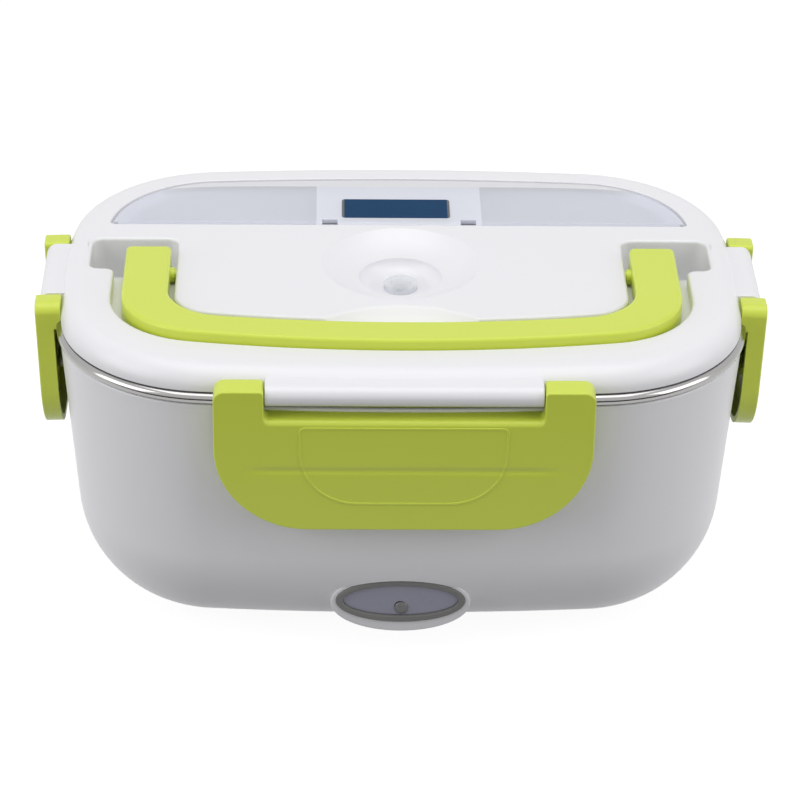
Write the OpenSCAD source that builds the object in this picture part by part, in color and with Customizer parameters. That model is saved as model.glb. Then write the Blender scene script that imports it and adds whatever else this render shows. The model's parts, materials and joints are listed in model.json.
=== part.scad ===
// Electric lunch box: a heated base, a steel food container and a snap-on lid.
// Origin on the table under the middle of the base, front face towards -Y, Z up.
// All sizes in millimetres, all angles in degrees.

/* [Plan outline] */
// Width of the steel rim, side to side
rim_width = 222.8; // [212:0.2:236]
// Depth of the steel rim, front to back
rim_depth = 156; // [148:0.5:166]
// Plan radius of the long front and back sides
long_side_radius = 797; // [600:1:1000]
// Plan radius of the short left and right sides
short_side_radius = 257; // [220:1:320]
// Plan radius of the four corners
corner_radius = 50.6; // [49:0.2:54]

/* [Housing] */
// Height of the top of the steel rim above the table
rim_top = 98.2; // [96:0.2:110]
// Wall thickness of the outer housing
housing_wall = 2.2; // [1.8:0.1:2.6]
// How far the housing lies inside the steel rim
housing_inset = 1.0; // [0.6:0.1:1.4]
// Lean of the housing wall from the vertical
housing_draft = 4.6; // [3.8:0.1:5]
// Radius of the belly between wall and base
belly_radius = 40.2; // [38:0.2:41]
// Height of the rubber feet below the base
foot_height = 1.0; // [0.8:0.1:2]
// Radius of a rubber foot
foot_radius = 5.5; // [4:0.5:6.5]

/* [Inner tub and heater] */
// Wall thickness of the inner tub
tub_wall = 1.8; // [1.4:0.1:2.2]
// Height of the underside of the inner tub
tub_base = 34; // [33:0.5:37]
// Radius of the heating plate that touches the container
heater_radius = 35; // [30:1:35]
// Thickness of the flange under the heating plate
heater_flange = 1.5; // [1:0.1:2]
// Length of the ceramic heating element
ptc_length = 58; // [50:1:64]

/* [Food container] */
// Sheet thickness of the steel container
steel_wall = 0.8; // [0.6:0.1:1.2]
// Radius of the rolled edge of the container
rim_bead_radius = 1.8; // [1.4:0.1:2]
// Lean of the container wall from the vertical
container_draft = 6; // [5.5:0.1:7]
// Radius between container wall and bottom
container_corner = 14; // [10:1:20]

/* [Lid] */
// Height of the lid top above the steel rim
lid_height = 7.8; // [7.6:0.1:8.6]
// How far the lid edge lies inside the steel rim
lid_inset = 1.5; // [1:0.1:1.8]
// Rounding of the lid's upper edge
lid_edge_radius = 7.2; // [6:0.1:7.4]
// Wall thickness of the lid
lid_wall = 2.2; // [1.8:0.1:2.4]
// Thickness of the recess floors and walls
recess_wall = 1.6; // [1.2:0.1:1.8]
// Depth of the lid below its top surface
lid_depth = 17.8; // [17.4:0.2:19]
// Thickness of the silicone seal
seal_height = 3.2; // [2.8:0.1:3.4]

/* [Carry handle] */
// Distance from the steel rim to the outer face of each handle arm
handle_margin = 22.4; // [21.4:0.2:25.4]
// Distance from the middle of the lid to the front of the handle
handle_reach = 59.4; // [57:0.2:61]
// Width of the handle bar seen from above
handle_bar = 13.6; // [11:0.2:14.5]
// Plan radius of the bowed front of the handle
handle_bow = 400; // [300:5:600]
// Plan radius of the outer corners of the handle
handle_corner = 27; // [24:0.5:32]
// Thickness of the handle
handle_thickness = 7.8; // [7:0.1:8.2]
// How far the handle stands above the lid
handle_proud = 3.2; // [2.6:0.1:3.6]
// Distance from the handle pivot to the rear end of each arm
handle_tail = 10.6; // [10:0.1:11.4]
// Radius of the collar between each arm and the lid
pivot_collar = 2.5; // [2:0.1:2.8]
// Radius of the handle pivot pins
pivot_radius = 1.5; // [1.2:0.1:1.6]

/* [Cutlery compartment] */
// Distance from the middle of the lid to the front edge of the compartment
cutlery_front = 28; // [27:0.5:32]
// How far the compartment lies inside the steel rim
cutlery_inset = 14; // [13.6:0.2:17]
// Depth of the compartment below the lid top
cutlery_depth = 12; // [10:0.5:13]
// Width of the ledge that carries the cover
cutlery_ledge = 5; // [4:0.5:7]
// Thickness of the cover
cover_thickness = 1.6; // [1.4:0.1:1.8]
// Length of the spoon
spoon_length = 142; // [120:1:146]
// Radius of the bowl of the spoon
spoon_bowl = 10; // [8:0.5:10.5]
// Thickness of the spoon
spoon_height = 2.2; // [1.4:0.1:2.6]
// Width of the foil patch on the cover
label_width = 36; // [20:1:40]
// Depth of the foil patch on the cover, front to back
label_depth = 14; // [10:0.5:18]

/* [Steam vent] */
// Radius of the dish at the lid top
dish_radius = 25.5; // [24:0.5:26]
// Radius of the cup in the middle of the dish
cup_radius = 14.5; // [12:0.5:16]
// Depth of the dish at the edge of its cup
dish_depth = 5; // [4:0.2:6]
// Depth of the floor of the cup
cup_depth = 9; // [8:0.2:10]
// Radius of the vent plug
plug_radius = 5.5; // [4.5:0.1:6.5]
// Thickness of the head of the vent plug
plug_head = 2.2; // [1.6:0.1:3]

/* [Snap latches] */
// Half width of the front and back latches
long_latch_half = 58.5; // [54:0.5:60]
// Half width of the left and right latches
short_latch_half = 27; // [25:0.5:29]
// Width of each ear beside the hinge barrel
long_ear = 15.5; // [12:0.5:17]
// Width of each ear of the short latches
short_ear = 9; // [8:0.5:10]
// Drop from the hinge axis to the lower edge of a latch
latch_drop = 46.3; // [42:0.5:50]
// Distance from the hinge axis to the outer face of a latch
latch_face = 4.4; // [4:0.1:4.8]
// Plate thickness of a latch
latch_plate = 2.4; // [2:0.1:2.8]
// Radius of the lower corners of the long latches
long_latch_corner = 29; // [22:1:32]
// Radius of the lower corners of the short latches
short_latch_corner = 20; // [14:1:22]
// Radius of the hinge barrels on the lid
barrel_radius = 3.4; // [3.2:0.1:3.8]
// Radius of the stub pins of a latch
stub_radius = 2.0; // [1.6:0.1:2.2]
// Radius of the half-round ribs that the latches snap under
rib_radius = 1.6; // [1.4:0.1:1.8]

/* [Indicator and inlet] */
// Half width of the oval indicator frame
bezel_half_width = 20.6; // [18:0.2:22]
// Half height of the oval indicator frame
bezel_half_height = 7.8; // [7:0.1:8.4]
// Height of the middle of the indicator above the table
bezel_height = 20.6; // [19.6:0.2:22]
// Visible width of the indicator frame
bezel_rim = 2.3; // [1.8:0.1:3]
// Distance from the middle of the box to the face of the indicator
nose_reach = 69.6; // [68.6:0.1:70.2]
// Radius of the indicator lamp
led_radius = 1.5; // [1.2:0.1:2]
// Width of the well round the power inlet
inlet_well_width = 27; // [25:0.5:30]
// Height of the well round the power inlet
inlet_well_height = 19; // [17:0.5:20]
// Distance between the two inlet pins
inlet_pin_pitch = 8.65; // [7:0.05:9]
// Radius of an inlet pin
inlet_pin_radius = 1.2; // [1:0.05:1.3]

/* [Hidden] */

arc_fn = 240;
round_fn = 96;
eps = 0.01;

white = [0.93, 0.93, 0.94];
lime = [0.72, 0.80, 0.22];
steel = [0.76, 0.76, 0.75];
dark = [0.13, 0.13, 0.14];

// ---- plan outline: eight tangent arcs, all offsets share the same centres ----
half_w = rim_width / 2;
half_d = rim_depth / 2;
long_c = [0, half_d - long_side_radius];
short_c = [half_w - short_side_radius, 0];
corner_c = tangent_centre(long_c, long_side_radius - corner_radius,
    short_c, short_side_radius - corner_radius);
long_turn = 90 - atan2(corner_c.y - long_c.y, corner_c.x);
short_turn = atan2(corner_c.y, corner_c.x - short_c.x);
sweep_reach = corner_radius - 8;
slab_reach = sweep_reach - 3;
slab_extra = 0.3;
// The corner sweeps end inside their neighbours, a hair thinner, so that all eight fuse
seam = 0.02;
seam_lap = 0.4;
$thin = 0;

// Centre of the arc that lies ra from pa and rb from pb, on the +X +Y side
function tangent_centre(pa, ra, pb, rb) =
    let (d = norm(pa - pb), along = (ra * ra - rb * rb + d * d) / (2 * d),
        up = sqrt(ra * ra - along * along), e = (pb - pa) / d)
    pa + e * along + up * (e.x * 0 + e.y > 0 ? [e.y, -e.x] : [-e.y, e.x]);

function arc_points(c, r, from, to, steps) =
    [for (i = [0 : steps]) let (a = from + (to - from) * i / steps) c + r * [cos(a), sin(a)]];

function half_outline(inset) = concat(
    arc_points(short_c, short_side_radius - inset, 0, short_turn, 5),
    arc_points(corner_c, corner_radius - inset, short_turn, 90 - long_turn, 16),
    arc_points(long_c, long_side_radius - inset, 90 - long_turn, 90 + long_turn, 14),
    arc_points([-corner_c.x, corner_c.y], corner_radius - inset, 90 + long_turn,
        180 - short_turn, 16),
    arc_points(-short_c, short_side_radius - inset, 180 - short_turn, 180, 5));

function outline(inset) = let (h = half_outline(inset)) concat(h, [for (p = h) -p]);

function ellipse_points(rx, rz, steps = 72) =
    [for (i = [0 : steps - 1]) [rx * cos(i * 360 / steps), rz * sin(i * 360 / steps)]];

// Sweep the child profile along one arc: profile x is outward from radius r, y is height
module arc_sweep(c, r, from, to)
    translate(c) rotate(from) rotate_extrude(angle = to - from, $fn = arc_fn)
        translate([r, 0]) children();

// Sweep the child profile round the whole outline
module ring_sweep()
    for (turn = [0, 180]) rotate(turn) {
        arc_sweep(long_c, long_side_radius, 90 - long_turn, 90 + long_turn) children();
        arc_sweep(short_c, short_side_radius, -short_turn, short_turn) children();
        arc_sweep(corner_c, corner_radius, short_turn - seam_lap, 90 - long_turn + seam_lap,
            $thin = seam) children();
        arc_sweep([-corner_c.x, corner_c.y], corner_radius, 90 + long_turn - seam_lap,
            180 - short_turn + seam_lap, $thin = seam) children();
    }

function reverse(points) = [for (i = [len(points) - 1 : -1 : 0]) points[i]];

// Wall section between an outer and an inner curve
module shell_section(outer, inner) polygon(concat(outer, reverse(inner)));

function rounded_points(x0, y0, x1, y1, r) = concat(
    arc_points([x1 - r, y0 + r], r, -90, 0, 6), arc_points([x1 - r, y1 - r], r, 0, 90, 6),
    arc_points([x0 + r, y1 - r], r, 90, 180, 6), arc_points([x0 + r, y0 + r], r, 180, 270, 6));

module slab(inset, z0, z1)
    translate([0, 0, z0]) linear_extrude(z1 - z0) polygon(outline(inset));

// Outer curve of a drafted tub from the middle of its base to its top edge
function tub_curve(top_x, top_z, base_z, draft, r, steps = 12) =
    let (centre_z = base_z + r, tangent_z = centre_z - r * sin(draft),
        centre_x = top_x - (top_z - tangent_z) * tan(draft) - r * cos(draft))
    concat([[-sweep_reach, base_z]], arc_points([centre_x, centre_z], r, -90, -draft, steps),
        [[top_x, top_z]]);

module along_x(length) rotate([90, 0, 90]) linear_extrude(length, center = true) children();

// ---- heights ----
lid_top = rim_top + lid_height;
bead_z = rim_top - rim_bead_radius;
gap = 0.3;
housing_top = bead_z - rim_bead_radius - gap;
floor_top = foot_height + housing_wall;

// ---- outer housing ----
housing_x = -housing_inset;
// Outward position of the housing wall at height z, measured from the rim outline
function wall_x(z) = housing_x - (housing_top - z) * tan(housing_draft);
belly_tangent_z = belly_radius * (1 - sin(housing_draft));
belly_x = wall_x(belly_tangent_z) - belly_radius * cos(housing_draft);

function housing_curve(skin, top) =
    let (r = belly_radius - skin, start = -asin((belly_radius - foot_height - skin) / r))
    concat([[-sweep_reach, foot_height + skin]],
        arc_points([belly_x, belly_radius], r, start, -housing_draft, 14),
        [[housing_x - skin - (housing_top - top) * tan(housing_draft), top]]);

// Latch geometry shared by housing and latches, measured from the rim outline
hinge_x = 1.0;
hinge_z = rim_top + 2.1;
rib_z = 76.5;
rib_x = wall_x(rib_z) - 0.15;
hook_out = 2.6;
hook_down = 2.1;
long_rib_half = long_latch_half - long_ear - 7;
short_rib_half = short_latch_half - short_ear - 3;

module ribs() {
    for (s = [-1, 1]) {
        translate([0, s * (half_d + rib_x), rib_z]) rotate([0, 90, 0])
            cylinder(r = rib_radius, h = 2 * long_rib_half, center = true, $fn = round_fn);
        translate([s * (half_w + rib_x), 0, rib_z]) rotate([90, 0, 0])
            cylinder(r = rib_radius, h = 2 * short_rib_half, center = true, $fn = round_fn);
    }
}

// Oval extruded along -Y, used by the indicator
module oval_bar(rx, rz, z, y_front, y_back)
    translate([0, y_back, z]) rotate([90, 0, 0]) linear_extrude(y_back - y_front)
        polygon(ellipse_points(rx, rz));

nose_margin = 2.0;
nose_low_margin = 3.3;
nose_half_height = bezel_half_height + (nose_margin + nose_low_margin) / 2;
nose_height = bezel_height - (nose_low_margin - nose_margin) / 2;
nose_back = 56;
seat_depth = 3.2;
seat_step = 1.3;
fit = 0.1;

inlet_face = 60.5;
inlet_height = 21;
inlet_core_w = 21;
inlet_core_h = 14;
inlet_core_depth = 13;
well_wall = 1.8;
module well_box(grow, y0, y1)
    translate([-inlet_well_width / 2 - grow, y0, inlet_height - inlet_well_height / 2 - grow])
        cube([inlet_well_width + 2 * grow, y1 - y0, inlet_well_height + 2 * grow]);

screw_at = [for (sx = [-1, 1], sy = [-1, 1]) [sx * 51, sy * 15]];
foot_at = [for (sx = [-1, 1], sy = [-1, 1]) [sx * (corner_c.x + 2), sy * (corner_c.y + 1)]];
screw_boss = 5;
screw_boss_top = foot_height + 5;
screw_head = 2.8;
screw_shank = 1.5;

module outer_housing() color(white) difference() {
    union() {
        ring_sweep() shell_section(housing_curve($thin, housing_top - $thin),
            housing_curve(housing_wall - $thin, housing_top - $thin));
        slab(slab_reach, foot_height, floor_top + slab_extra);
        ribs();
        oval_bar(bezel_half_width + nose_margin, nose_half_height, nose_height,
            -nose_reach, -nose_back);
        intersection() {
            well_box(well_wall, inlet_face - well_wall, half_d);
            arc_sweep(long_c, long_side_radius, 90 - long_turn, 90 + long_turn)
                polygon(concat(housing_curve(0.05, housing_top - 1), [[-sweep_reach, housing_top - 1]]));
        }
        for (p = screw_at) translate([p.x, p.y, foot_height + 0.5])
            cylinder(r = screw_boss, h = screw_boss_top - foot_height - 0.5, $fn = round_fn);
    }
    oval_bar(bezel_half_width + fit, bezel_half_height + fit, bezel_height,
        -half_d - 5, -nose_reach + seat_depth);
    oval_bar(bezel_half_width - seat_step, bezel_half_height - seat_step, bezel_height,
        -nose_reach, -nose_back + 5);
    well_box(0, inlet_face, half_d + 5);
    translate([0, inlet_face, inlet_height]) cube([inlet_core_w + 2 * fit, 8, inlet_core_h + 2 * fit],
        center = true);
    for (p = screw_at) translate([p.x, p.y, 0]) {
        cylinder(r = screw_head + 0.3, h = foot_height + 3, $fn = round_fn);
        cylinder(r = screw_shank + 0.2, h = 20, $fn = round_fn);
    }
    for (p = foot_at) translate([p.x, p.y, 0])
        cylinder(r = foot_radius + fit, h = foot_height + 1.2, $fn = round_fn);
}

module feet() color(dark)
    for (p = foot_at) translate([p.x, p.y, 0]) {
        translate([0, 0, 0.6]) cylinder(r = foot_radius, h = foot_height + 0.55, $fn = round_fn);
        cylinder(r1 = foot_radius - 0.6, r2 = foot_radius, h = 0.6 + eps, $fn = round_fn);
    }

module base_screws() color(steel)
    for (p = screw_at) translate([p.x, p.y, foot_height + 0.8]) difference() {
        union() {
            cylinder(r = screw_head, h = 2.2, $fn = round_fn);
            cylinder(r = screw_shank, h = 16, $fn = round_fn);
        }
        for (a = [0, 90]) rotate(a) cube([3.2, 0.8, 2.4], center = true);
    }

// ---- inner tub ----
tub_top = rim_top - steel_wall - 0.2;
tub_gap = 0.7;
tub_x = -(housing_inset + housing_wall + tub_gap);
tub_corner = 12;
boss_radius = 4;

module inner_tub() color(white) difference() {
    union() {
        ring_sweep() shell_section(
            tub_curve(tub_x - $thin, tub_top - $thin, tub_base + $thin, housing_draft, tub_corner),
            tub_curve(tub_x - tub_wall + $thin, tub_top - $thin, tub_base + tub_wall - $thin,
                housing_draft, tub_corner - tub_wall));
        slab(slab_reach, tub_base + slab_extra, tub_base + tub_wall + slab_extra);
        for (p = screw_at) translate([p.x, p.y, screw_boss_top + fit])
            cylinder(r = boss_radius, h = tub_base + 1 - screw_boss_top, $fn = round_fn);
    }
    translate([0, 0, tub_base - 1]) cylinder(r = heater_radius + gap, h = tub_wall + 2, $fn = round_fn);
    for (p = screw_at) translate([p.x, p.y, 0])
        cylinder(r = screw_shank + 0.02, h = tub_base - 12, $fn = round_fn);
}

// ---- heater ----
container_base = tub_base + tub_wall + 2.2;
plate_top = container_base + slab_extra - 0.2;
flange_top = tub_base - fit;
flange_base = flange_top - heater_flange;
ptc_height = 4.5;
clamp_sheet = 1.2;
clamp_x = ptc_length / 2 + 6;

module heating_plate() color(steel) {
    translate([0, 0, flange_base]) cylinder(r = heater_radius, h = plate_top - flange_base, $fn = round_fn);
    translate([0, 0, flange_base]) cylinder(r = heater_radius + 4, h = heater_flange, $fn = round_fn);
}

module ptc_heater() color([0.55, 0.52, 0.47])
    translate([-ptc_length / 2, -9, flange_base - ptc_height]) cube([ptc_length, 18, ptc_height]);

module heater_clamp() color(steel) difference() {
    union() {
        translate([-clamp_x - 4, -6, flange_base - ptc_height - clamp_sheet])
            cube([2 * clamp_x + 8, 12, clamp_sheet]);
        for (s = [-1, 1]) translate([s * clamp_x - (s < 0 ? 4 : -1), -6, flange_base - ptc_height - clamp_sheet])
            cube([3, 12, ptc_height + clamp_sheet]);
    }
    for (s = [-1, 1]) translate([s * (clamp_x - 2.5), 0, 0])
        cylinder(r = 1.6, h = tub_base, $fn = round_fn);
}

module clamp_screws() color(steel)
    for (s = [-1, 1]) translate([s * (clamp_x - 2.5), 0, flange_base - ptc_height - clamp_sheet]) {
        translate([0, 0, -1.6]) cylinder(r = 2.6, h = 1.6, $fn = round_fn);
        translate([0, 0, -0.5]) cylinder(r = 1.5, h = ptc_height + clamp_sheet + 0.5, $fn = round_fn);
    }

thermostat_at = [0, 22];
module thermostat() color([0.2, 0.2, 0.22])
    translate([thermostat_at.x, thermostat_at.y, flange_base - 5.5]) {
        cylinder(r = 8, h = 5.5, $fn = round_fn);
        translate([0, 0, 3.5]) rotate(0) cube([24, 6, 1], center = true);
        for (s = [-1, 1]) translate([s * 4 - 1.6, -0.4, -4]) cube([3.2, 0.8, 4.5]);
    }

fuse_at = [14, -20];
module thermal_fuse() color([0.85, 0.82, 0.7])
    translate([fuse_at.x, fuse_at.y, flange_base - 2]) rotate([0, 90, 0]) {
        cylinder(r = 2, h = 11, center = true, $fn = round_fn);
        cylinder(r = 0.5, h = 22, center = true, $fn = round_fn);
    }

// A lead through a few bends: straight runs joined by balls
module lead(points, r = 1.1)
    for (i = [0 : len(points) - 2]) {
        v = points[i + 1] - points[i];
        translate(points[i]) rotate([0, acos(v.z / norm(v)), atan2(v.y, v.x)])
            cylinder(r = r, h = norm(v), $fn = 24);
        if (i > 0) translate(points[i]) rotate([0, acos(v.z / norm(v)), atan2(v.y, v.x)])
            sphere(1.4 * r, $fn = 24);
    }

pin_end = inlet_face - inlet_core_depth - 5.9;
pin_back = pin_end - 1.3;
module wiring() color([0.75, 0.15, 0.1]) {
    lead([[-inlet_pin_pitch / 2, pin_back, inlet_height], [-14, 34, 14],
        [thermostat_at.x - 4, thermostat_at.y, flange_base - 13.8],
        [thermostat_at.x - 4, thermostat_at.y, flange_base - 10.3]]);
    lead([[inlet_pin_pitch / 2, pin_back, inlet_height], [24, 34, 12], [34, 0, 12],
        [fuse_at.x + 12.2, fuse_at.y, flange_base - 2]]);
    lead([[-8, -indicator_board_y + 2.2, bezel_height], [-20, -44, 14], [-12, -24, 14],
        [fuse_at.x - 12.2, fuse_at.y, flange_base - 2]]);
}

// ---- indicator ----
indicator_board_y = nose_reach - 7.6;
lens_face = nose_reach - 0.4;
lens_thickness = 2;

module indicator_bezel() color([0.42, 0.42, 0.40]) difference() {
    oval_bar(bezel_half_width, bezel_half_height, bezel_height, -nose_reach - 0.6,
        -nose_reach + seat_depth - fit);
    oval_bar(bezel_half_width - bezel_rim, bezel_half_height - bezel_rim, bezel_height,
        -nose_reach - 2, -nose_reach + seat_depth + 1);
}

led_drop = 2.4;
module indicator_lens() color([0.72, 0.72, 0.80, 0.7]) difference() {
    oval_bar(bezel_half_width - bezel_rim - fit, bezel_half_height - bezel_rim - fit, bezel_height,
        -lens_face, -lens_face + lens_thickness);
    translate([0, 0, bezel_height - led_drop]) rotate([90, 0, 0])
        cylinder(r = led_radius + 0.5, h = half_d, $fn = round_fn);
}

module indicator_board() color([0.1, 0.4, 0.2])
    oval_bar(bezel_half_width - seat_step - fit, bezel_half_height - seat_step - fit, bezel_height,
        -indicator_board_y, -indicator_board_y + 1.2);

module indicator_led() color([0.75, 0.78, 0.72])
    translate([0, -indicator_board_y, bezel_height - led_drop]) rotate([90, 0, 0]) {
        cylinder(r = led_radius + 0.4, h = 1, $fn = round_fn);
        cylinder(r = led_radius, h = lens_face - indicator_board_y - 1.6, $fn = round_fn);
        translate([0, 0, lens_face - indicator_board_y - 1.6]) sphere(led_radius, $fn = round_fn);
    }

// ---- power inlet: figure-eight socket in a well in the back ----
socket_r = 4.2;
pin_shoulder = 0.4;
socket_depth = 11;
module socket_shape(grow)
    for (s = [-1, 1]) translate([s * inlet_pin_pitch / 2, 0]) circle(socket_r + grow, $fn = round_fn);

module power_inlet() color(dark)
    translate([0, inlet_face, inlet_height]) rotate([90, 0, 0]) difference() {
        union() {
            translate([-inlet_core_w / 2, -inlet_core_h / 2, -1]) cube([inlet_core_w, inlet_core_h,
                inlet_core_depth + 1]);
            translate([-inlet_core_w / 2 - 1.5, -inlet_core_h / 2 - 1.2, -1.4])
                cube([inlet_core_w + 3, inlet_core_h + 2.4, 1.4 - fit / 2]);
        }
        translate([0, 0, -2]) linear_extrude(socket_depth + 2) {
            socket_shape(0);
            translate([-inlet_pin_pitch / 2, -socket_r + 0.9]) square([inlet_pin_pitch, 2 * socket_r - 1.8]);
        }
        for (s = [-1, 1]) translate([s * inlet_pin_pitch / 2, 0, 0])
            cylinder(r = inlet_pin_radius + pin_shoulder + 0.01, h = 40, $fn = round_fn);
    }

module inlet_pins() color(steel)
    for (s = [-1, 1]) translate([s * inlet_pin_pitch / 2, inlet_face - 1.5, inlet_height])
        rotate([90, 0, 0]) {
            translate([0, 0, inlet_pin_radius]) cylinder(r = inlet_pin_radius,
                h = socket_depth - 1.5 - inlet_pin_radius, $fn = round_fn);
            translate([0, 0, socket_depth - 1.5]) cylinder(r = inlet_pin_radius + pin_shoulder,
                h = inlet_core_depth - socket_depth + 5.9, $fn = round_fn);
            translate([0, 0, inlet_pin_radius]) sphere(inlet_pin_radius, $fn = round_fn);
        }

// ---- steel container ----
container_x = tub_x - tub_wall - 0.6;

module food_container() color(steel) {
    ring_sweep() {
        shell_section(
            tub_curve(container_x - $thin, rim_top - $thin, container_base + $thin, container_draft,
                container_corner),
            tub_curve(container_x - steel_wall + $thin, rim_top - $thin,
                container_base + steel_wall - $thin, container_draft, container_corner - steel_wall));
        translate([container_x - steel_wall / 2, rim_top - steel_wall + $thin])
            square([-rim_bead_radius - container_x + steel_wall / 2, steel_wall - 2 * $thin]);
        translate([-rim_bead_radius, bead_z]) circle(rim_bead_radius - $thin, $fn = round_fn);
    }
    slab(slab_reach, container_base + slab_extra, container_base + steel_wall + slab_extra);
}

// ---- lid ----
lid_x = -lid_inset;
lid_base = rim_top + 0.2;
lid_bottom = lid_top - lid_depth;
skirt_x = container_x - steel_wall - 2.2;
skirt_wall = 2;
skin_reach = 31;

function lid_curve(skin, low) = concat([[lid_x - skin, low]],
    arc_points([lid_x - lid_edge_radius, lid_top - lid_edge_radius], lid_edge_radius - skin, 0, 90, 10),
    [[-skin_reach, lid_top - skin]]);

// Plan of the handle family: straight arms, round corners and a bowed front
function bow_centre(w, reach, bow, r) =
    [w - r, bow - reach - sqrt(pow(bow - r, 2) - pow(w - r, 2))];
function bow_angle(w, reach, bow, r) =
    let (c = bow_centre(w, reach, bow, r)) atan2(c.y - bow + reach, c.x);
function bow_points(w, reach, bow, r, y_end) =
    let (c = bow_centre(w, reach, bow, r), a = bow_angle(w, reach, bow, r)) concat(
        [[-w, y_end]], arc_points([-c.x, c.y], r, 180, 180 - a, 14),
        arc_points([0, bow - reach], bow, -180 - a, a, 10),
        arc_points(c, r, a, 0, 14), [[w, y_end]]);

// Sweep the child profile along the arms, corners and front of the handle family
module bow_sweep(w, reach, bow, r, y_end) {
    c = bow_centre(w, reach, bow, r);
    a = bow_angle(w, reach, bow, r);
    lap = 2 * seam_lap;
    arc_sweep([0, bow - reach], bow, -180 - a, a) children();
    arc_sweep(c, r, a - lap, lap, $thin = seam) children();
    arc_sweep([-c.x, c.y], r, 180 - lap, 180 - a + lap, $thin = seam) children();
    translate([w, y_end, 0]) rotate([90, 0, 0]) linear_extrude(y_end - c.y) children();
    translate([-w, c.y, 0]) rotate([90, 0, 180]) linear_extrude(y_end - c.y) children();
}

handle_edge = 1.4;
handle_top = lid_top + handle_proud;
handle_base = handle_top - handle_thickness;
pivot_z = handle_base + 2.3;
handle_rear = 5.7;
pivot_y = handle_rear - handle_tail;
arm_out = half_w - handle_margin;
arm_in = arm_out - handle_bar;

// Recesses of the lid
groove_gap = 3.5;
groove_floor = handle_base - 0.3;
island_gap = 2.9;
island_half = arm_in - island_gap;
pivot_length = 5.6;
pocket_floor = pivot_z - norm([handle_tail, handle_top - pivot_z]) - 0.2;
pocket_out = half_w + skirt_x - recess_wall;
pocket_back = handle_rear + 9.8;
pocket_front = -2.6;
slot_front = pivot_y - 4;
island_reach = handle_reach - handle_bar - 6;

module groove_plan(grow) difference() {
    polygon(bow_points(arm_out + groove_gap + grow, handle_reach + 0.4 + grow, handle_bow + grow,
        handle_corner + groove_gap + grow, pocket_front + 5));
    polygon(bow_points(island_half - grow, island_reach - grow, handle_bow - grow, 12 - grow,
        pocket_back + 2));
}

module pocket_plan(grow)
    for (s = [0, 1]) mirror([s, 0]) {
        polygon(rounded_points(island_half - grow, pocket_front - grow, pocket_out + grow,
            pocket_back + grow, 3 + grow));
        translate([arm_in - 0.4 - grow, slot_front - grow])
            square([handle_bar + 0.8 + 2 * grow, pocket_back - slot_front]);
    }

scoop_radius = 38;
scoop_centre = [0, -island_reach - 28.2];
scoop_turn = 46;
module scoop(grow, top)
    arc_sweep(scoop_centre, scoop_radius, scoop_turn - 2 * grow, 180 - scoop_turn + 2 * grow)
        polygon([[-18, groove_floor - grow], [-11 + grow, groove_floor - grow],
            [-6 + grow, groove_floor + 0.9 - grow], [-2.4 + grow, groove_floor + 2.6 - grow],
            [grow, min(top, lid_top - 0.6)], [grow, top], [-18, top]]);

module cutlery_plan(inset, front)
    intersection() {
        polygon(outline(inset));
        translate([-half_w, front]) square([rim_width, half_d]);
    }

module dish_profile(grow, top)
    polygon(concat([[0, top], [0, lid_top - cup_depth - grow],
        [cup_radius - 5 + grow, lid_top - cup_depth - grow]],
        [for (i = [0 : 6]) [cup_radius - 5 + 4 * sin(i * 15) + grow,
            lid_top - cup_depth - grow + (cup_depth - dish_depth) * (1 - cos(i * 15))]],
        [for (i = [0 : 8]) let (t = i / 8 * (1 - (lid_top + 1 - top) / 100)) [cup_radius + grow + (dish_radius - cup_radius) * t,
            lid_top - grow - dish_depth * (1 - pow(t, 1.6))]],
        [[dish_radius + grow, top]]));

web_back = 5.7;
module barrel(half, web_z)
    along_x(2 * half) difference() {
        union() {
            circle(barrel_radius, $fn = round_fn);
            translate([-web_back, web_z - hinge_z]) square([web_back, barrel_radius - web_z + hinge_z]);
        }
        translate([-rim_bead_radius - hinge_x, bead_z - hinge_z])
            circle(rim_bead_radius + gap, $fn = round_fn);
    }

stub_length = 7;
ear_radius = 3.6;
ear_back = 1.3;
stub_fit = 0.05;
long_barrel_half = long_latch_half - long_ear - 0.3;
short_barrel_half = short_latch_half - short_ear - 0.3;

// Place the children at hinge i: front, back, left, right; outward is +Y there
module at_hinge(i)
    rotate([180, 0, 90, -90][i])
        translate([0, (i < 2 ? half_d : half_w) + hinge_x, hinge_z]) children();

module lid_hinges()
    for (i = [0 : 3]) at_hinge(i) barrel(i < 2 ? long_barrel_half : short_barrel_half, lid_base + 0.6);

module lid_hinge_bores()
    for (i = [0 : 3]) at_hinge(i) {
        half = i < 2 ? long_barrel_half : short_barrel_half;
        for (s = [-1, 1]) translate([s * (half - stub_length / 2 + 0.5), 0, 0]) rotate([0, 90, 0])
            cylinder(r = stub_radius + stub_fit, h = stub_length + 1, center = true, $fn = round_fn);
        ear = i < 2 ? long_ear : short_ear;
        for (s = [-1, 1]) translate([s * (half + ear / 2 + 0.35), 0, 0]) rotate([0, 90, 0])
            cylinder(r = ear_radius + gap, h = ear + 0.7, center = true, $fn = round_fn);
    }

cover_axis = [cutlery_front + 2.1, lid_top - 0.1 - 1.7];
cover_bead = 1.6;
lug_at = 23;
lug_half = 2;

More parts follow.
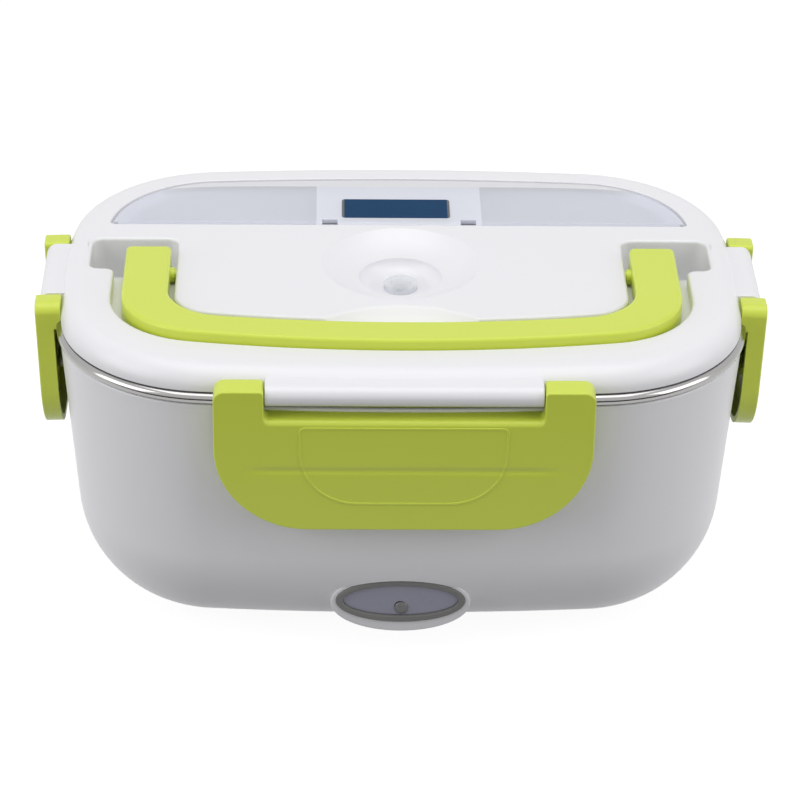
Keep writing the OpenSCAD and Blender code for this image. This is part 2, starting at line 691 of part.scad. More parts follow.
module lid_shell() color(white) difference() {
    union() {
        ring_sweep() {
            shell_section(lid_curve($thin, lid_base + $thin), lid_curve(lid_wall - $thin, lid_base + $thin));
            translate([skirt_x - skirt_wall + $thin, lid_bottom + $thin])
                square([skirt_wall - 2 * $thin, lid_depth - 1.2]);
        }
        slab(skin_reach - 3, lid_top - lid_wall - slab_extra, lid_top);
        translate([0, 0, groove_floor - recess_wall]) linear_extrude(lid_top - 1 - groove_floor + recess_wall)
            groove_plan(recess_wall);
        translate([0, 0, pocket_floor - recess_wall]) linear_extrude(lid_top - 1 - pocket_floor + recess_wall)
            intersection() {
                pocket_plan(recess_wall);
                polygon(outline(-skirt_x));
            }
        translate([0, 0, lid_top - cutlery_depth - recess_wall])
            linear_extrude(cutlery_depth + recess_wall - 1)
                cutlery_plan(cutlery_inset - recess_wall, cutlery_front - recess_wall);
        rotate_extrude($fn = round_fn) dish_profile(recess_wall, lid_top - 0.5);
        scoop(recess_wall, lid_top - 0.5);
        for (s = [-1, 1]) translate([s * (island_half - 4.5), pivot_y, lid_top - 4])
            cube([7, 2 * pivot_radius + 4, 6], center = true);
        cylinder_boss();
        lid_hinges();
    }
    translate([0, 0, groove_floor]) linear_extrude(20) groove_plan(0);
    translate([0, 0, pocket_floor]) linear_extrude(25) pocket_plan(0);
    translate([0, 0, lid_top - cutlery_depth]) linear_extrude(20)
        cutlery_plan(cutlery_inset + cutlery_ledge, cutlery_front);
    translate([0, 0, lid_top - cover_thickness - 0.3]) linear_extrude(20)
        cutlery_plan(cutlery_inset, cutlery_front);
    translate([0, 0, cover_axis.y - cover_bead - gap]) linear_extrude(20) intersection() {
        cutlery_plan(cutlery_inset, cutlery_front);
        translate([-half_w, cutlery_front]) square([rim_width, cover_axis.x + cover_bead + gap - cutlery_front]);
    }
    rotate_extrude($fn = round_fn) dish_profile(0, lid_top + 1);
    scoop(0, lid_top + 1);
    cylinder(r = plug_stem + 0.3, h = lid_top, $fn = round_fn);
    for (s = [-1, 1]) translate([s * island_half, pivot_y, pivot_z]) rotate([0, 90, 0])
        cylinder(r = pivot_radius + stub_fit, h = 2 * pivot_length, center = true, $fn = round_fn);
    lid_hinge_bores();
}

plug_stem = 2.4;
module cylinder_boss()
    translate([0, 0, lid_bottom + 1.8])
        cylinder(r = plug_stem + 2, h = lid_top - cup_depth - lid_bottom - 2.8, $fn = round_fn);

plate_thickness = 1.6;
seal_width = 4;
module lid_inner_plate() color(white) difference() {
    slab(-skirt_x + skirt_wall + fit, lid_bottom, lid_bottom + plate_thickness);
    cylinder(r = plug_stem + 0.3, h = lid_top, $fn = round_fn);
}

module lid_seal() color([0.85, 0.86, 0.88])
    ring_sweep() translate([skirt_x + 0.05 + $thin, rim_top + 0.1 + $thin])
        square([seal_width - 2 * $thin, seal_height - 2 * $thin]);

// ---- vent plug ----
module vent_plug() color([0.85, 0.88, 0.95, 0.6]) {
    z = lid_top - cup_depth + 0.05;
    translate([0, 0, z]) cylinder(r = plug_radius, h = plug_head, $fn = round_fn);
    translate([0, 0, lid_bottom - 1]) cylinder(r = plug_stem, h = z - lid_bottom + 1 + eps, $fn = round_fn);
}

// ---- carry handle ----
module handle_profile()
    polygon(rounded_points(-handle_bar + $thin, handle_base + $thin, -$thin, handle_top - $thin,
        handle_edge - $thin));

module carry_handle() color(lime) {
    difference() {
        bow_sweep(arm_out, handle_reach, handle_bow, handle_corner, handle_rear) handle_profile();
        for (s = [-1, 1]) translate([s * (arm_out - handle_bar / 2), handle_rear, handle_top])
            rotate([45, 0, 0]) cube([handle_bar + 2, 3, 3], center = true);
    }
    for (s = [-1, 1]) translate([s * (arm_in + 1), pivot_y, pivot_z]) rotate([0, -90 * s, 0]) {
        cylinder(r = pivot_collar, h = island_gap + 0.8, $fn = round_fn);
        cylinder(r = pivot_radius, h = island_gap + pivot_length + 0.6, $fn = round_fn);
    }
}

// ---- cutlery cover ----
cover_gap = 0.4;
cover_top = lid_top - 0.1;
module cover_label() color([0.05, 0.17, 0.33])
    translate([-label_width / 2 - 1, cutlery_front + 5.5, cover_top])
        cube([label_width, label_depth, 0.15]);

module cutlery_cover() color([0.80, 0.84, 0.92, 0.6]) {
    difference() {
        union() {
            translate([0, 0, cover_top - cover_thickness]) linear_extrude(cover_thickness)
                cutlery_plan(cutlery_inset + cover_gap, cover_axis.x);
            translate([0, cover_axis.x, cover_axis.y]) rotate([0, 90, 0])
                cylinder(r = cover_bead, h = 2 * cover_front_half, center = true, $fn = round_fn);
        }
        for (s = [-1, 1]) translate([s * lug_at, cover_axis.x, cover_axis.y])
            cube([2 * lug_half + 0.8, 7, 7], center = true);
    }
    for (s = [-1, 1]) translate([s * lug_at, cover_axis.x, cover_axis.y]) rotate([0, 90, 0])
        cylinder(r = 0.75, h = 2 * lug_half + 1.6, center = true, $fn = round_fn);
}
cover_front_half = corner_c.x + (corner_radius - cutlery_inset) - 3;

// ---- spoon ----
module spoon() color([0.9, 0.9, 0.92])
    translate([0, cutlery_front + 9.5, lid_top - cutlery_depth + 0.2]) {
        translate([-spoon_length / 7, -spoon_bowl * 0.4, 0])
            cube([spoon_length * 9 / 14, spoon_bowl * 0.8, spoon_height]);
        translate([-spoon_length / 3, spoon_bowl * 0.4, 0])
            cylinder(r = spoon_bowl, h = spoon_height, $fn = round_fn);
        translate([-spoon_length * 0.29, -spoon_bowl * 0.4, 0])
            cube([spoon_length * 0.22, spoon_bowl * 0.9, spoon_height]);
    }

// ---- latches ----
latch_lean = 2;
latch_rear = -1.4;
latch_rim = 2;
cutout_drop = 7;

module latch_outline(half, r, inset) {
    bottom = -latch_drop + inset;
    h = half - inset;
    rr = r - inset;
    union() {
        translate([-h, bottom + rr]) square([2 * h, -cutout_drop - inset - bottom - rr]);
        translate([-h + rr, bottom]) square([2 * (h - rr), rr + 1]);
        for (s = [-1, 1]) intersection() {
            translate([s * (h - rr), bottom + rr]) circle(rr, $fn = arc_fn);
            translate([s > 0 ? h - rr - eps : -h, bottom]) square([rr + eps, rr + eps]);
        }
    }
}

// Latch in its own frame: hinge axis on X through the origin, outward is +Y, down is -Z
module latch(half, ear, r, rib_half) color(lime) {
    ear_x = half - ear / 2;
    hook = [rib_x - hinge_x + hook_out, rib_z - hinge_z - hook_down];
    difference() {
        union() {
            rotate([-latch_lean, 0, 0]) difference() {
                translate([0, latch_face, 0]) rotate([90, 0, 0]) linear_extrude(latch_face - latch_rear)
                    latch_outline(half, r, 0);
                translate([0, latch_face - latch_plate, 0]) rotate([90, 0, 0]) linear_extrude(20)
                    latch_outline(half, r, latch_rim);
            }
            for (s = [-1, 1]) translate([s * ear_x, 0, 0]) along_x(ear - 0.1) ear_section();
        }
    }
    along_x(2 * rib_half) intersection() {
        union() {
            translate(hook) circle(rib_radius, $fn = round_fn);
            translate([hook.x, hook.y - rib_radius]) square([latch_face, 2 * rib_radius]);
        }
        translate([-10, hook.y - 3]) square([10 + latch_face - latch_plate / 2 + hook.y * sin(latch_lean), 6]);
    }
    for (s = [-1, 1]) translate([s * (half - ear - stub_length / 2 + 0.5), 0, 0]) rotate([0, 90, 0])
        cylinder(r = stub_radius, h = stub_length + 1, center = true, $fn = round_fn);
}

module ear_section() {
    difference() {
        union() {
            circle(ear_radius, $fn = round_fn);
            polygon([[-ear_back, 0], [latch_face, 0],
                [latch_face - 0.1 - (cutout_drop + 3) * tan(latch_lean), -cutout_drop - 3],
                [-ear_back, -cutout_drop - 3]]);
            translate([0, -1]) square([latch_face - 2, 4.4]);
            translate([0, -1]) square([latch_face, 2.4]);
            translate([latch_face - 2, 1.4]) circle(2, $fn = round_fn);
        }
        translate([-6, -4]) square([6 - ear_back, 2.8]);
    }
}

module latch_front() at_hinge(0) latch(long_latch_half, long_ear, long_latch_corner, long_rib_half);
module latch_back() at_hinge(1) latch(long_latch_half, long_ear, long_latch_corner, long_rib_half);
module latch_left() at_hinge(2) latch(short_latch_half, short_ear, short_latch_corner, short_rib_half);
module latch_right() at_hinge(3) latch(short_latch_half, short_ear, short_latch_corner, short_rib_half);

outer_housing();
feet();
base_screws();
inner_tub();
heating_plate();
ptc_heater();
heater_clamp();
clamp_screws();
thermostat();
thermal_fuse();
wiring();
indicator_board();
indicator_led();
indicator_bezel();
indicator_lens();
power_inlet();
inlet_pins();
food_container();
lid_shell();
lid_inner_plate();
lid_seal();
spoon();
vent_plug();
carry_handle();
cutlery_cover();
cover_label();
latch_front();
latch_back();
latch_left();
latch_right();
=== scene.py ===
"""Dressed model of an electric lunch box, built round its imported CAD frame.

Sizes are in millimetres while a piece is being shaped and become metres when it is finished.
"""

import json
import logging
import math
from dataclasses import dataclass, field
from enum import Enum
from typing import Callable, Iterable, Optional, Sequence

import bmesh
import bpy
from mathutils import Matrix, Vector

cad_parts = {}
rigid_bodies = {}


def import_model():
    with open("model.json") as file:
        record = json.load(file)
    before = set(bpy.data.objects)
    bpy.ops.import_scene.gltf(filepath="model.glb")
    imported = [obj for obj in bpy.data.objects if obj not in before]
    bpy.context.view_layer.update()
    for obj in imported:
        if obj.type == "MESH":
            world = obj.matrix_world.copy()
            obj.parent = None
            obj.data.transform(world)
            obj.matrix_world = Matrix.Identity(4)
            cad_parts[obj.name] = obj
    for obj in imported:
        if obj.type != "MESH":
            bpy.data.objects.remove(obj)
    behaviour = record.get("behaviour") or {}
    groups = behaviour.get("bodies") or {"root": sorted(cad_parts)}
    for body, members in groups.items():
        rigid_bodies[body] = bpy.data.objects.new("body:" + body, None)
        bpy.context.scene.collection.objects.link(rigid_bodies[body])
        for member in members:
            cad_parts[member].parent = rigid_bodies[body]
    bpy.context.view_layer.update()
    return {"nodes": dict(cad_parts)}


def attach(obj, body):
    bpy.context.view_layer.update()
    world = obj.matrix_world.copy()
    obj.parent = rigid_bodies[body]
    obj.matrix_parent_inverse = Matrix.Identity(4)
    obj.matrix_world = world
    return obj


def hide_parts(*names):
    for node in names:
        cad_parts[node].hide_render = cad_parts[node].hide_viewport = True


LOG = logging.getLogger("lunch_box")
MM = 0.001
XY = Vector((0.0, 0.0, 1.0))
XZ = Vector((0.0, -1.0, 0.0))
CROWN_POINT = (0.0, 79.0, 99.9)
CROWN_NORMAL = (0.0, 0.482, 0.876)


class Side(Enum):
    """The four sides of the box that carry a latch, with the turn from the back side."""

    FRONT = 180.0
    BACK = 0.0
    LEFT = 90.0
    RIGHT = -90.0

    @property
    def is_long(self) -> bool:
        """Whether this is one of the two long sides."""
        return self in (Side.FRONT, Side.BACK)

    @property
    def tag(self) -> str:
        """The side's name as it stands in the names of nodes and pieces."""
        return self.name.lower()


# ---------------------------------------------------------------------------
# Shader writing
# ---------------------------------------------------------------------------


class Signal:
    """A number socket of a shader tree that takes part in Python expressions."""

    def __init__(self, paint: "Paint", socket: bpy.types.NodeSocket) -> None:
        """Wrap a socket.

        Args:
            paint: The material that the socket belongs to.
            socket: The output socket.
        """
        self.paint = paint
        self.socket = socket

    def _math(self, operation: str, first: object, second: object) -> "Signal":
        """Add one Math node.

        Args:
            operation: The node's operation.
            first: Value or signal of the first socket.
            second: Value or signal of the second socket.

        Returns:
            The node's result.
        """
        node = self.paint.node("ShaderNodeMath", {"operation": operation}, {0: first, 1: second})
        return Signal(self.paint, node.outputs[0])

    def __add__(self, other: object) -> "Signal":
        """Sum of two signals."""
        return self._math("ADD", self, other)

    def __radd__(self, other: object) -> "Signal":
        """Sum with a plain number in front."""
        return self._math("ADD", other, self)

    def __sub__(self, other: object) -> "Signal":
        """Difference of two signals."""
        return self._math("SUBTRACT", self, other)

    def __rsub__(self, other: object) -> "Signal":
        """Difference from a plain number."""
        return self._math("SUBTRACT", other, self)

    def __mul__(self, other: object) -> "Signal":
        """Product of two signals."""
        return self._math("MULTIPLY", self, other)

    def __rmul__(self, other: object) -> "Signal":
        """Product with a plain number in front."""
        return self._math("MULTIPLY", other, self)

    def __truediv__(self, other: object) -> "Signal":
        """Quotient of two signals."""
        return self._math("DIVIDE", self, other)

    def __rtruediv__(self, other: object) -> "Signal":
        """Quotient of a plain number and a signal."""
        return self._math("DIVIDE", other, self)

    def __pow__(self, other: object) -> "Signal":
        """Power of a signal."""
        return self._math("POWER", self, other)

    def __neg__(self) -> "Signal":
        """Signal with its sign turned."""
        return self._math("MULTIPLY", self, -1.0)

    def __abs__(self) -> "Signal":
        """Size of a signal without its sign."""
        return self._math("ABSOLUTE", self, 0.0)

    def at_most(self, other: object) -> "Signal":
        """Smaller of two signals."""
        return self._math("MINIMUM", self, other)

    def at_least(self, other: object) -> "Signal":
        """Larger of two signals."""
        return self._math("MAXIMUM", self, other)

    def below(self, limit: float, soft: float) -> "Signal":
        """Fade from one to nothing where the signal passes a limit.

        Args:
            limit: Value at the middle of the fade.
            soft: Width of the fade.

        Returns:
            One well below the limit and nothing well above it.
        """
        node = self.paint.node(
            "ShaderNodeMapRange", {"interpolation_type": "SMOOTHSTEP"},
            {"Value": self, "From Min": limit - soft / 2, "From Max": limit + soft / 2,
             "To Min": 1.0, "To Max": 0.0})
        return Signal(self.paint, node.outputs["Result"])


class Paint:
    """A material under construction."""

    def __init__(self, name: str) -> None:
        """Start an empty node tree with a Principled shader.

        Args:
            name: Name of the material.
        """
        self.material = bpy.data.materials.new(name)
        self.material.use_nodes = True
        self.tree = self.material.node_tree
        self.tree.nodes.clear()
        self.output = self.tree.nodes.new("ShaderNodeOutputMaterial")
        self.shader = self.tree.nodes.new("ShaderNodeBsdfPrincipled")
        self.tree.links.new(self.shader.outputs[0], self.output.inputs["Surface"])
        self.place: Optional[bpy.types.NodeSocket] = None

    def node(self, kind: str, settings: Optional[dict] = None,
             inputs: Optional[dict] = None) -> bpy.types.Node:
        """Add a node.

        Args:
            kind: The node's type.
            settings: Attributes that are set first; "stops" fills a colour ramp.
            inputs: Values, signals or sockets by the input's name or number.

        Returns:
            The new node.
        """
        node = self.tree.nodes.new(kind)
        for key, value in (settings or {}).items():
            if key == "stops":
                ramp = node.color_ramp.elements
                while len(ramp) < len(value):
                    ramp.new(0.5)
                for stop, (position, colour) in zip(ramp, value):
                    stop.position = position
                    stop.color = colour if len(colour) == 4 else (*colour, 1.0)
            else:
                setattr(node, key, value)
        for key, value in (inputs or {}).items():
            self.feed(node.inputs[key], value)
        return node

    def feed(self, socket: bpy.types.NodeSocket, value: object) -> None:
        """Set or link one input socket.

        Args:
            socket: The input socket.
            value: A signal, a socket, a number, a colour or a vector.
        """
        if isinstance(value, Signal):
            self.tree.links.new(value.socket, socket)
        elif isinstance(value, bpy.types.NodeSocket):
            self.tree.links.new(value, socket)
        elif socket.type == "RGBA" and len(value) == 3:
            socket.default_value = (*value, 1.0)
        else:
            socket.default_value = value

    def object_place(self) -> bpy.types.NodeSocket:
        """The piece's own coordinates, in metres."""
        if self.place is None:
            self.place = self.node("ShaderNodeTexCoord").outputs["Object"]
        return self.place

    def axes(self) -> tuple[Signal, Signal, Signal]:
        """The three object coordinates as signals."""
        split = self.node("ShaderNodeSeparateXYZ", None, {0: self.object_place()})
        return tuple(Signal(self, split.outputs[i]) for i in range(3))

    def noise(self, scale: float, detail: float = 3.0, rough: float = 0.55,
              stretch: Sequence[float] = (1.0, 1.0, 1.0)) -> Signal:
        """Soft random variation from nothing to one.

        Args:
            scale: Blobs to the metre.
            detail: Number of finer layers.
            rough: Weight of the finer layers.
            stretch: Scale of the pattern along each axis.

        Returns:
            The noise value.
        """
        place = self.node("ShaderNodeMapping", None,
                          {"Vector": self.object_place(), "Scale": tuple(stretch)})
        node = self.node("ShaderNodeTexNoise", None,
                         {"Vector": place.outputs[0], "Scale": scale, "Detail": detail,
                          "Roughness": rough})
        return Signal(self, node.outputs[0])

    def blend(self, factor: object, first: object, second: object) -> bpy.types.NodeSocket:
        """Mix two colours.

        Args:
            factor: Share of the second colour.
            first: First colour.
            second: Second colour.

        Returns:
            The mixed colour.
        """
        node = self.node("ShaderNodeMix", {"data_type": "RGBA"},
                         {0: factor, 6: first, 7: second})
        return node.outputs[2]

    def bump(self, height: Signal, distance: float, strength: float = 1.0,
             under: Optional[bpy.types.NodeSocket] = None) -> bpy.types.NodeSocket:
        """Turn a height into a normal.

        Args:
            height: Height from nothing to one.
            distance: Real height of the relief in metres.
            strength: Strength of the effect.
            under: A normal that this relief lies on.

        Returns:
            The normal socket.
        """
        inputs = {"Height": height, "Distance": distance, "Strength": strength}
        if under is not None:
            inputs["Normal"] = under
        return self.node("ShaderNodeBump", None, inputs).outputs[0]

    def set(self, **inputs: object) -> None:
        """Set sockets of the Principled shader.

        Args:
            **inputs: Values by the socket's name with underscores for spaces.
        """
        for key, value in inputs.items():
            self.feed(self.shader.inputs[key.replace("_", " ")], value)


Colour = tuple[float, float, float]


@dataclass(frozen=True)
class MouldedPlastic:
    """Injection-moulded plastic with a faint grain and uneven gloss.

    Attributes:
        name: Name of the material.
        colour: Main colour.
        shade: Colour in the slightly uneven patches.
        roughness: Middle roughness.
        grain: Height of the surface grain in metres.
        coat: Strength of the clear gloss over the colour.
        gloss: Level of the surface's own reflection.
    """

    name: str
    colour: Colour
    shade: Colour
    roughness: float = 0.3
    grain: float = 0.000004
    coat: float = 0.0
    gloss: float = 0.5

    def paint(self) -> Paint:
        """Build the node tree.

        Returns:
            The material under construction, for finishes that add to it.
        """
        paint = Paint(self.name)
        cloud = paint.noise(26.0, 2.0)
        grain = paint.noise(2600.0, 2.0, 0.6)
        paint.set(Base_Color=paint.blend(cloud, self.colour, self.shade),
                  Roughness=self.roughness - 0.03 + 0.06 * paint.noise(120.0, 3.0),
                  Normal=paint.bump(grain, self.grain),
                  Coat_Weight=self.coat, Coat_Roughness=0.08,
                  Specular_IOR_Level=self.gloss)
        return paint

    def material(self) -> bpy.types.Material:
        """Build the material."""
        return self.paint().material


@dataclass(frozen=True)
class CreasedPlastic:
    """Moulded plastic with a faint sink line where a rib stands behind a latch.

    Attributes:
        base: The plastic.
        name: Name of the material.
        height: Height of the line above the table in metres.
        half: Half length of the line in metres.
        along_x: Whether the line runs along X.
    """

    base: MouldedPlastic
    name: str
    height: float
    half: float
    along_x: bool = True

    def material(self) -> bpy.types.Material:
        """Build the material.

        Returns:
            The finished material.
        """
        paint = self.base.paint()
        paint.material.name = self.name
        x, y, z = paint.axes()
        run = x if self.along_x else y
        away = (z - self.height) / 0.0011
        line = Signal(paint, paint.node("ShaderNodeMath", {"operation": "EXPONENT"},
                                        {0: -(away * away)}).outputs[0])
        line = line * abs(run).below(self.half, 0.012)
        grain = paint.noise(2600.0, 2.0, 0.6)
        under = paint.bump(grain, self.base.grain)
        paint.set(Normal=paint.bump(1.0 - line, 0.00035, 1.0, under))
        return paint.material


@dataclass(frozen=True)
class PolishedSteel:
    """Deep-drawn stainless steel with fine lines round the wall.

    Attributes:
        name: Name of the material.
        colour: Reflection colour.
        roughness: Middle roughness.
        line: Height of the drawn lines in metres.
    """

    name: str
    colour: Colour
    roughness: float = 0.16
    line: float = 0.000004

    def material(self) -> bpy.types.Material:
        """Build the material.

        Returns:
            The finished material.
        """
        paint = Paint(self.name)
        lines = paint.noise(60.0, 4.0, 0.7, (1.0, 1.0, 60.0))
        smear = paint.noise(40.0, 3.0)
        dim = tuple(c * 0.86 for c in self.colour)
        paint.set(Base_Color=paint.blend(smear, self.colour, dim), Metallic=1.0,
                  Roughness=self.roughness - 0.05 + 0.1 * smear,
                  Normal=paint.bump(lines, self.line))
        return paint.material


@dataclass(frozen=True)
class ClearPlastic:
    """See-through or frosted plastic or silicone.

    Attributes:
        name: Name of the material.
        colour: Tint.
        transmission: Share of the light that passes.
        roughness: Roughness of the surface.
        frost: Depth of the frosting in metres.
        index: Refractive index.
        alpha: Share of the surface that is there at all.
        patch: Half width of a milkier field in its middle.
    """

    name: str
    colour: Colour
    transmission: float = 0.85
    roughness: float = 0.12
    frost: float = 0.00001
    index: float = 1.46
    alpha: float = 1.0
    patch: float = 0.0

    def material(self) -> bpy.types.Material:
        """Build the material.

        Returns:
            The finished material.
        """
        paint = Paint(self.name)
        grain = paint.noise(1500.0, 2.0, 0.6)
        cloud = paint.noise(30.0, 2.0)
        pale = tuple(min(1.0, c * 1.06) for c in self.colour)
        alpha: object = self.alpha
        colour = paint.blend(cloud, self.colour, pale)
        if self.patch:
            x, y, _ = paint.axes()
            wide, deep = x * x / 0.0095, abs(y - 0.0301) / 0.0275
            field = (wide * wide * wide + deep * deep * deep).below(1.0, 0.05)
            milky = 1.0 - field * (1.0 - 0.7 * abs(x).below(self.patch, 0.0006))
            alpha = self.alpha + (0.96 - self.alpha) * 0.75 * milky
            colour = paint.blend(field, (0.82, 0.82, 0.85), colour)
        paint.set(Base_Color=colour,
                  Transmission_Weight=self.transmission, IOR=self.index,
                  Roughness=self.roughness - 0.03 + 0.06 * cloud, Alpha=alpha,
                  Normal=paint.bump(grain, self.frost))
        return paint.material


@dataclass(frozen=True)
class MetalPart:
    """Small plated or sheet metal part.

    Attributes:
        name: Name of the material.
        colour: Reflection colour.
        roughness: Middle roughness.
    """

    name: str
    colour: Colour
    roughness: float = 0.32

    def material(self) -> bpy.types.Material:
        """Build the material.

        Returns:
            The finished material.
        """
        paint = Paint(self.name)
        cloud = paint.noise(180.0, 3.0)
        fine = paint.noise(1800.0, 2.0)
        dim = tuple(c * 0.8 for c in self.colour)
        paint.set(Base_Color=paint.blend(cloud, self.colour, dim), Metallic=1.0,
                  Roughness=self.roughness - 0.06 + 0.12 * fine,
                  Normal=paint.bump(fine, 0.00001))
        return paint.material


@dataclass(frozen=True)
class FoilPatch:
    """Plain dark foil with grey ends stuck on the cover.

    Attributes:
        name: Name of the material.
        colour: Colour of the foil.
        ends: Colour of its two ends.
        half: Half length of the dark part in metres.
        middle: X of its middle in metres.
    """

    name: str
    colour: Colour
    ends: Colour
    half: float
    middle: float

    def material(self) -> bpy.types.Material:
        """Build the material.

        Returns:
            The finished material.
        """
        paint = Paint(self.name)
        x, _, _ = paint.axes()
        inside = abs(x - self.middle).below(self.half, 0.0002)
        cloud = paint.noise(200.0, 3.0)
        dark = paint.blend(cloud, self.colour, tuple(c * 1.35 for c in self.colour))
        paint.set(Base_Color=paint.blend(inside, self.ends, dark),
                  Roughness=0.34 + 0.12 * cloud, Normal=paint.bump(cloud, 0.00002),
                  Specular_IOR_Level=0.03)
        return paint.material


# ---------------------------------------------------------------------------
# Shaping
# ---------------------------------------------------------------------------


class Path:
    """A wire drawn by moving its end, for outlines of straight and round runs."""

    def __init__(self, mesh: bmesh.types.BMesh, start: Sequence[float],
                 plane: Vector = XY) -> None:
        """Put down the first point.

        Args:
            mesh: Mesh that the wire is drawn in.
            start: The two coordinates of the first point in the drawing plane.
            plane: Axis that a positive turn goes round.
        """
        self.mesh = mesh
        self.plane = plane
        self.verts = [mesh.verts.new(self.point(start))]
        self.corners: list[tuple[bmesh.types.BMVert, float]] = []

    def point(self, at: Sequence[float]) -> Vector:
        """Place of a drawing point in space."""
        return Vector((at[0], at[1], 0.0)) if self.plane is XY else Vector((at[0], 0.0, at[1]))

    def line(self, to: Sequence[float], radius: float = 0.0) -> "Path":
        """Draw a straight run.

        Args:
            to: Its end.
            radius: Rounding that the corner at its end gets when the path is done.

        Returns:
            The path itself.
        """
        made = bmesh.ops.extrude_vert_indiv(self.mesh, verts=[self.verts[-1]])
        vert = made["verts"][0]
        vert.co = self.point(to)
        self.verts.append(vert)
        if radius:
            self.corners.append((vert, radius))
        return self

    def arc(self, centre: Sequence[float], degrees: float, steps: int) -> "Path":
        """Draw a round run.

        Args:
            centre: Centre of the arc.
            degrees: Angle that it turns through.
            steps: Number of straight pieces.

        Returns:
            The path itself.
        """
        for _ in range(steps):
            made = bmesh.ops.extrude_vert_indiv(self.mesh, verts=[self.verts[-1]])
            vert = made["verts"][0]
            bmesh.ops.rotate(self.mesh, verts=[vert], cent=self.point(centre),
                             matrix=Matrix.Rotation(math.radians(degrees / steps), 3, self.plane))
            self.verts.append(vert)
        return self

    def round(self, radius: float) -> "Path":
        """Round the corner at the present end when the path is done."""
        self.corners.append((self.verts[-1], radius))
        return self

    def done(self, closed: bool = True, steps: int = 6) -> list[bmesh.types.BMEdge]:
        """Close the wire and round its marked corners.

        Args:
            closed: Whether the end is joined to the start.
            steps: Straight pieces to a rounded corner.

        Returns:
            The wire's edges.
        """
        if closed:
            first, last = self.verts[0], self.verts[-1]
            if (last.co - first.co).length < 1e-4:
                self.verts.pop()
                self.corners = [(first if v is last else v, r) for v, r in self.corners]
                bmesh.ops.weld_verts(self.mesh, targetmap={last: first})
            else:
                self.mesh.edges.new((last, first))
        rounded = [v for v, _ in self.corners]
        anchor = next(v for v in self.verts if v not in rounded)
        for vert, radius in self.corners:
            self.round_corner(vert, radius, steps)
        found: set[bmesh.types.BMEdge] = set()
        queue = list(anchor.link_edges)
        while queue:
            edge = queue.pop()
            if edge not in found and edge.is_wire:
                found.add(edge)
                for vert in edge.verts:
                    queue.extend(vert.link_edges)
        return list(found)

    def round_corner(self, vert: bmesh.types.BMVert, radius: float, steps: int) -> None:
        """Round one corner of the wire with a vertex bevel.

        Args:
            vert: The corner.
            radius: Its radius.
            steps: Straight pieces in the rounding.
        """
        first, second = [e.other_vert(vert).co - vert.co for e in vert.link_edges]
        bend = (math.pi - first.angle(second)) / 2
        reach = min(radius * math.tan(bend), first.length * 0.98, second.length * 0.98)
        bmesh.ops.bevel(self.mesh, geom=[vert], offset=reach, offset_type="OFFSET",
                        segments=steps, profile=0.5, affect="VERTICES", material=-1)


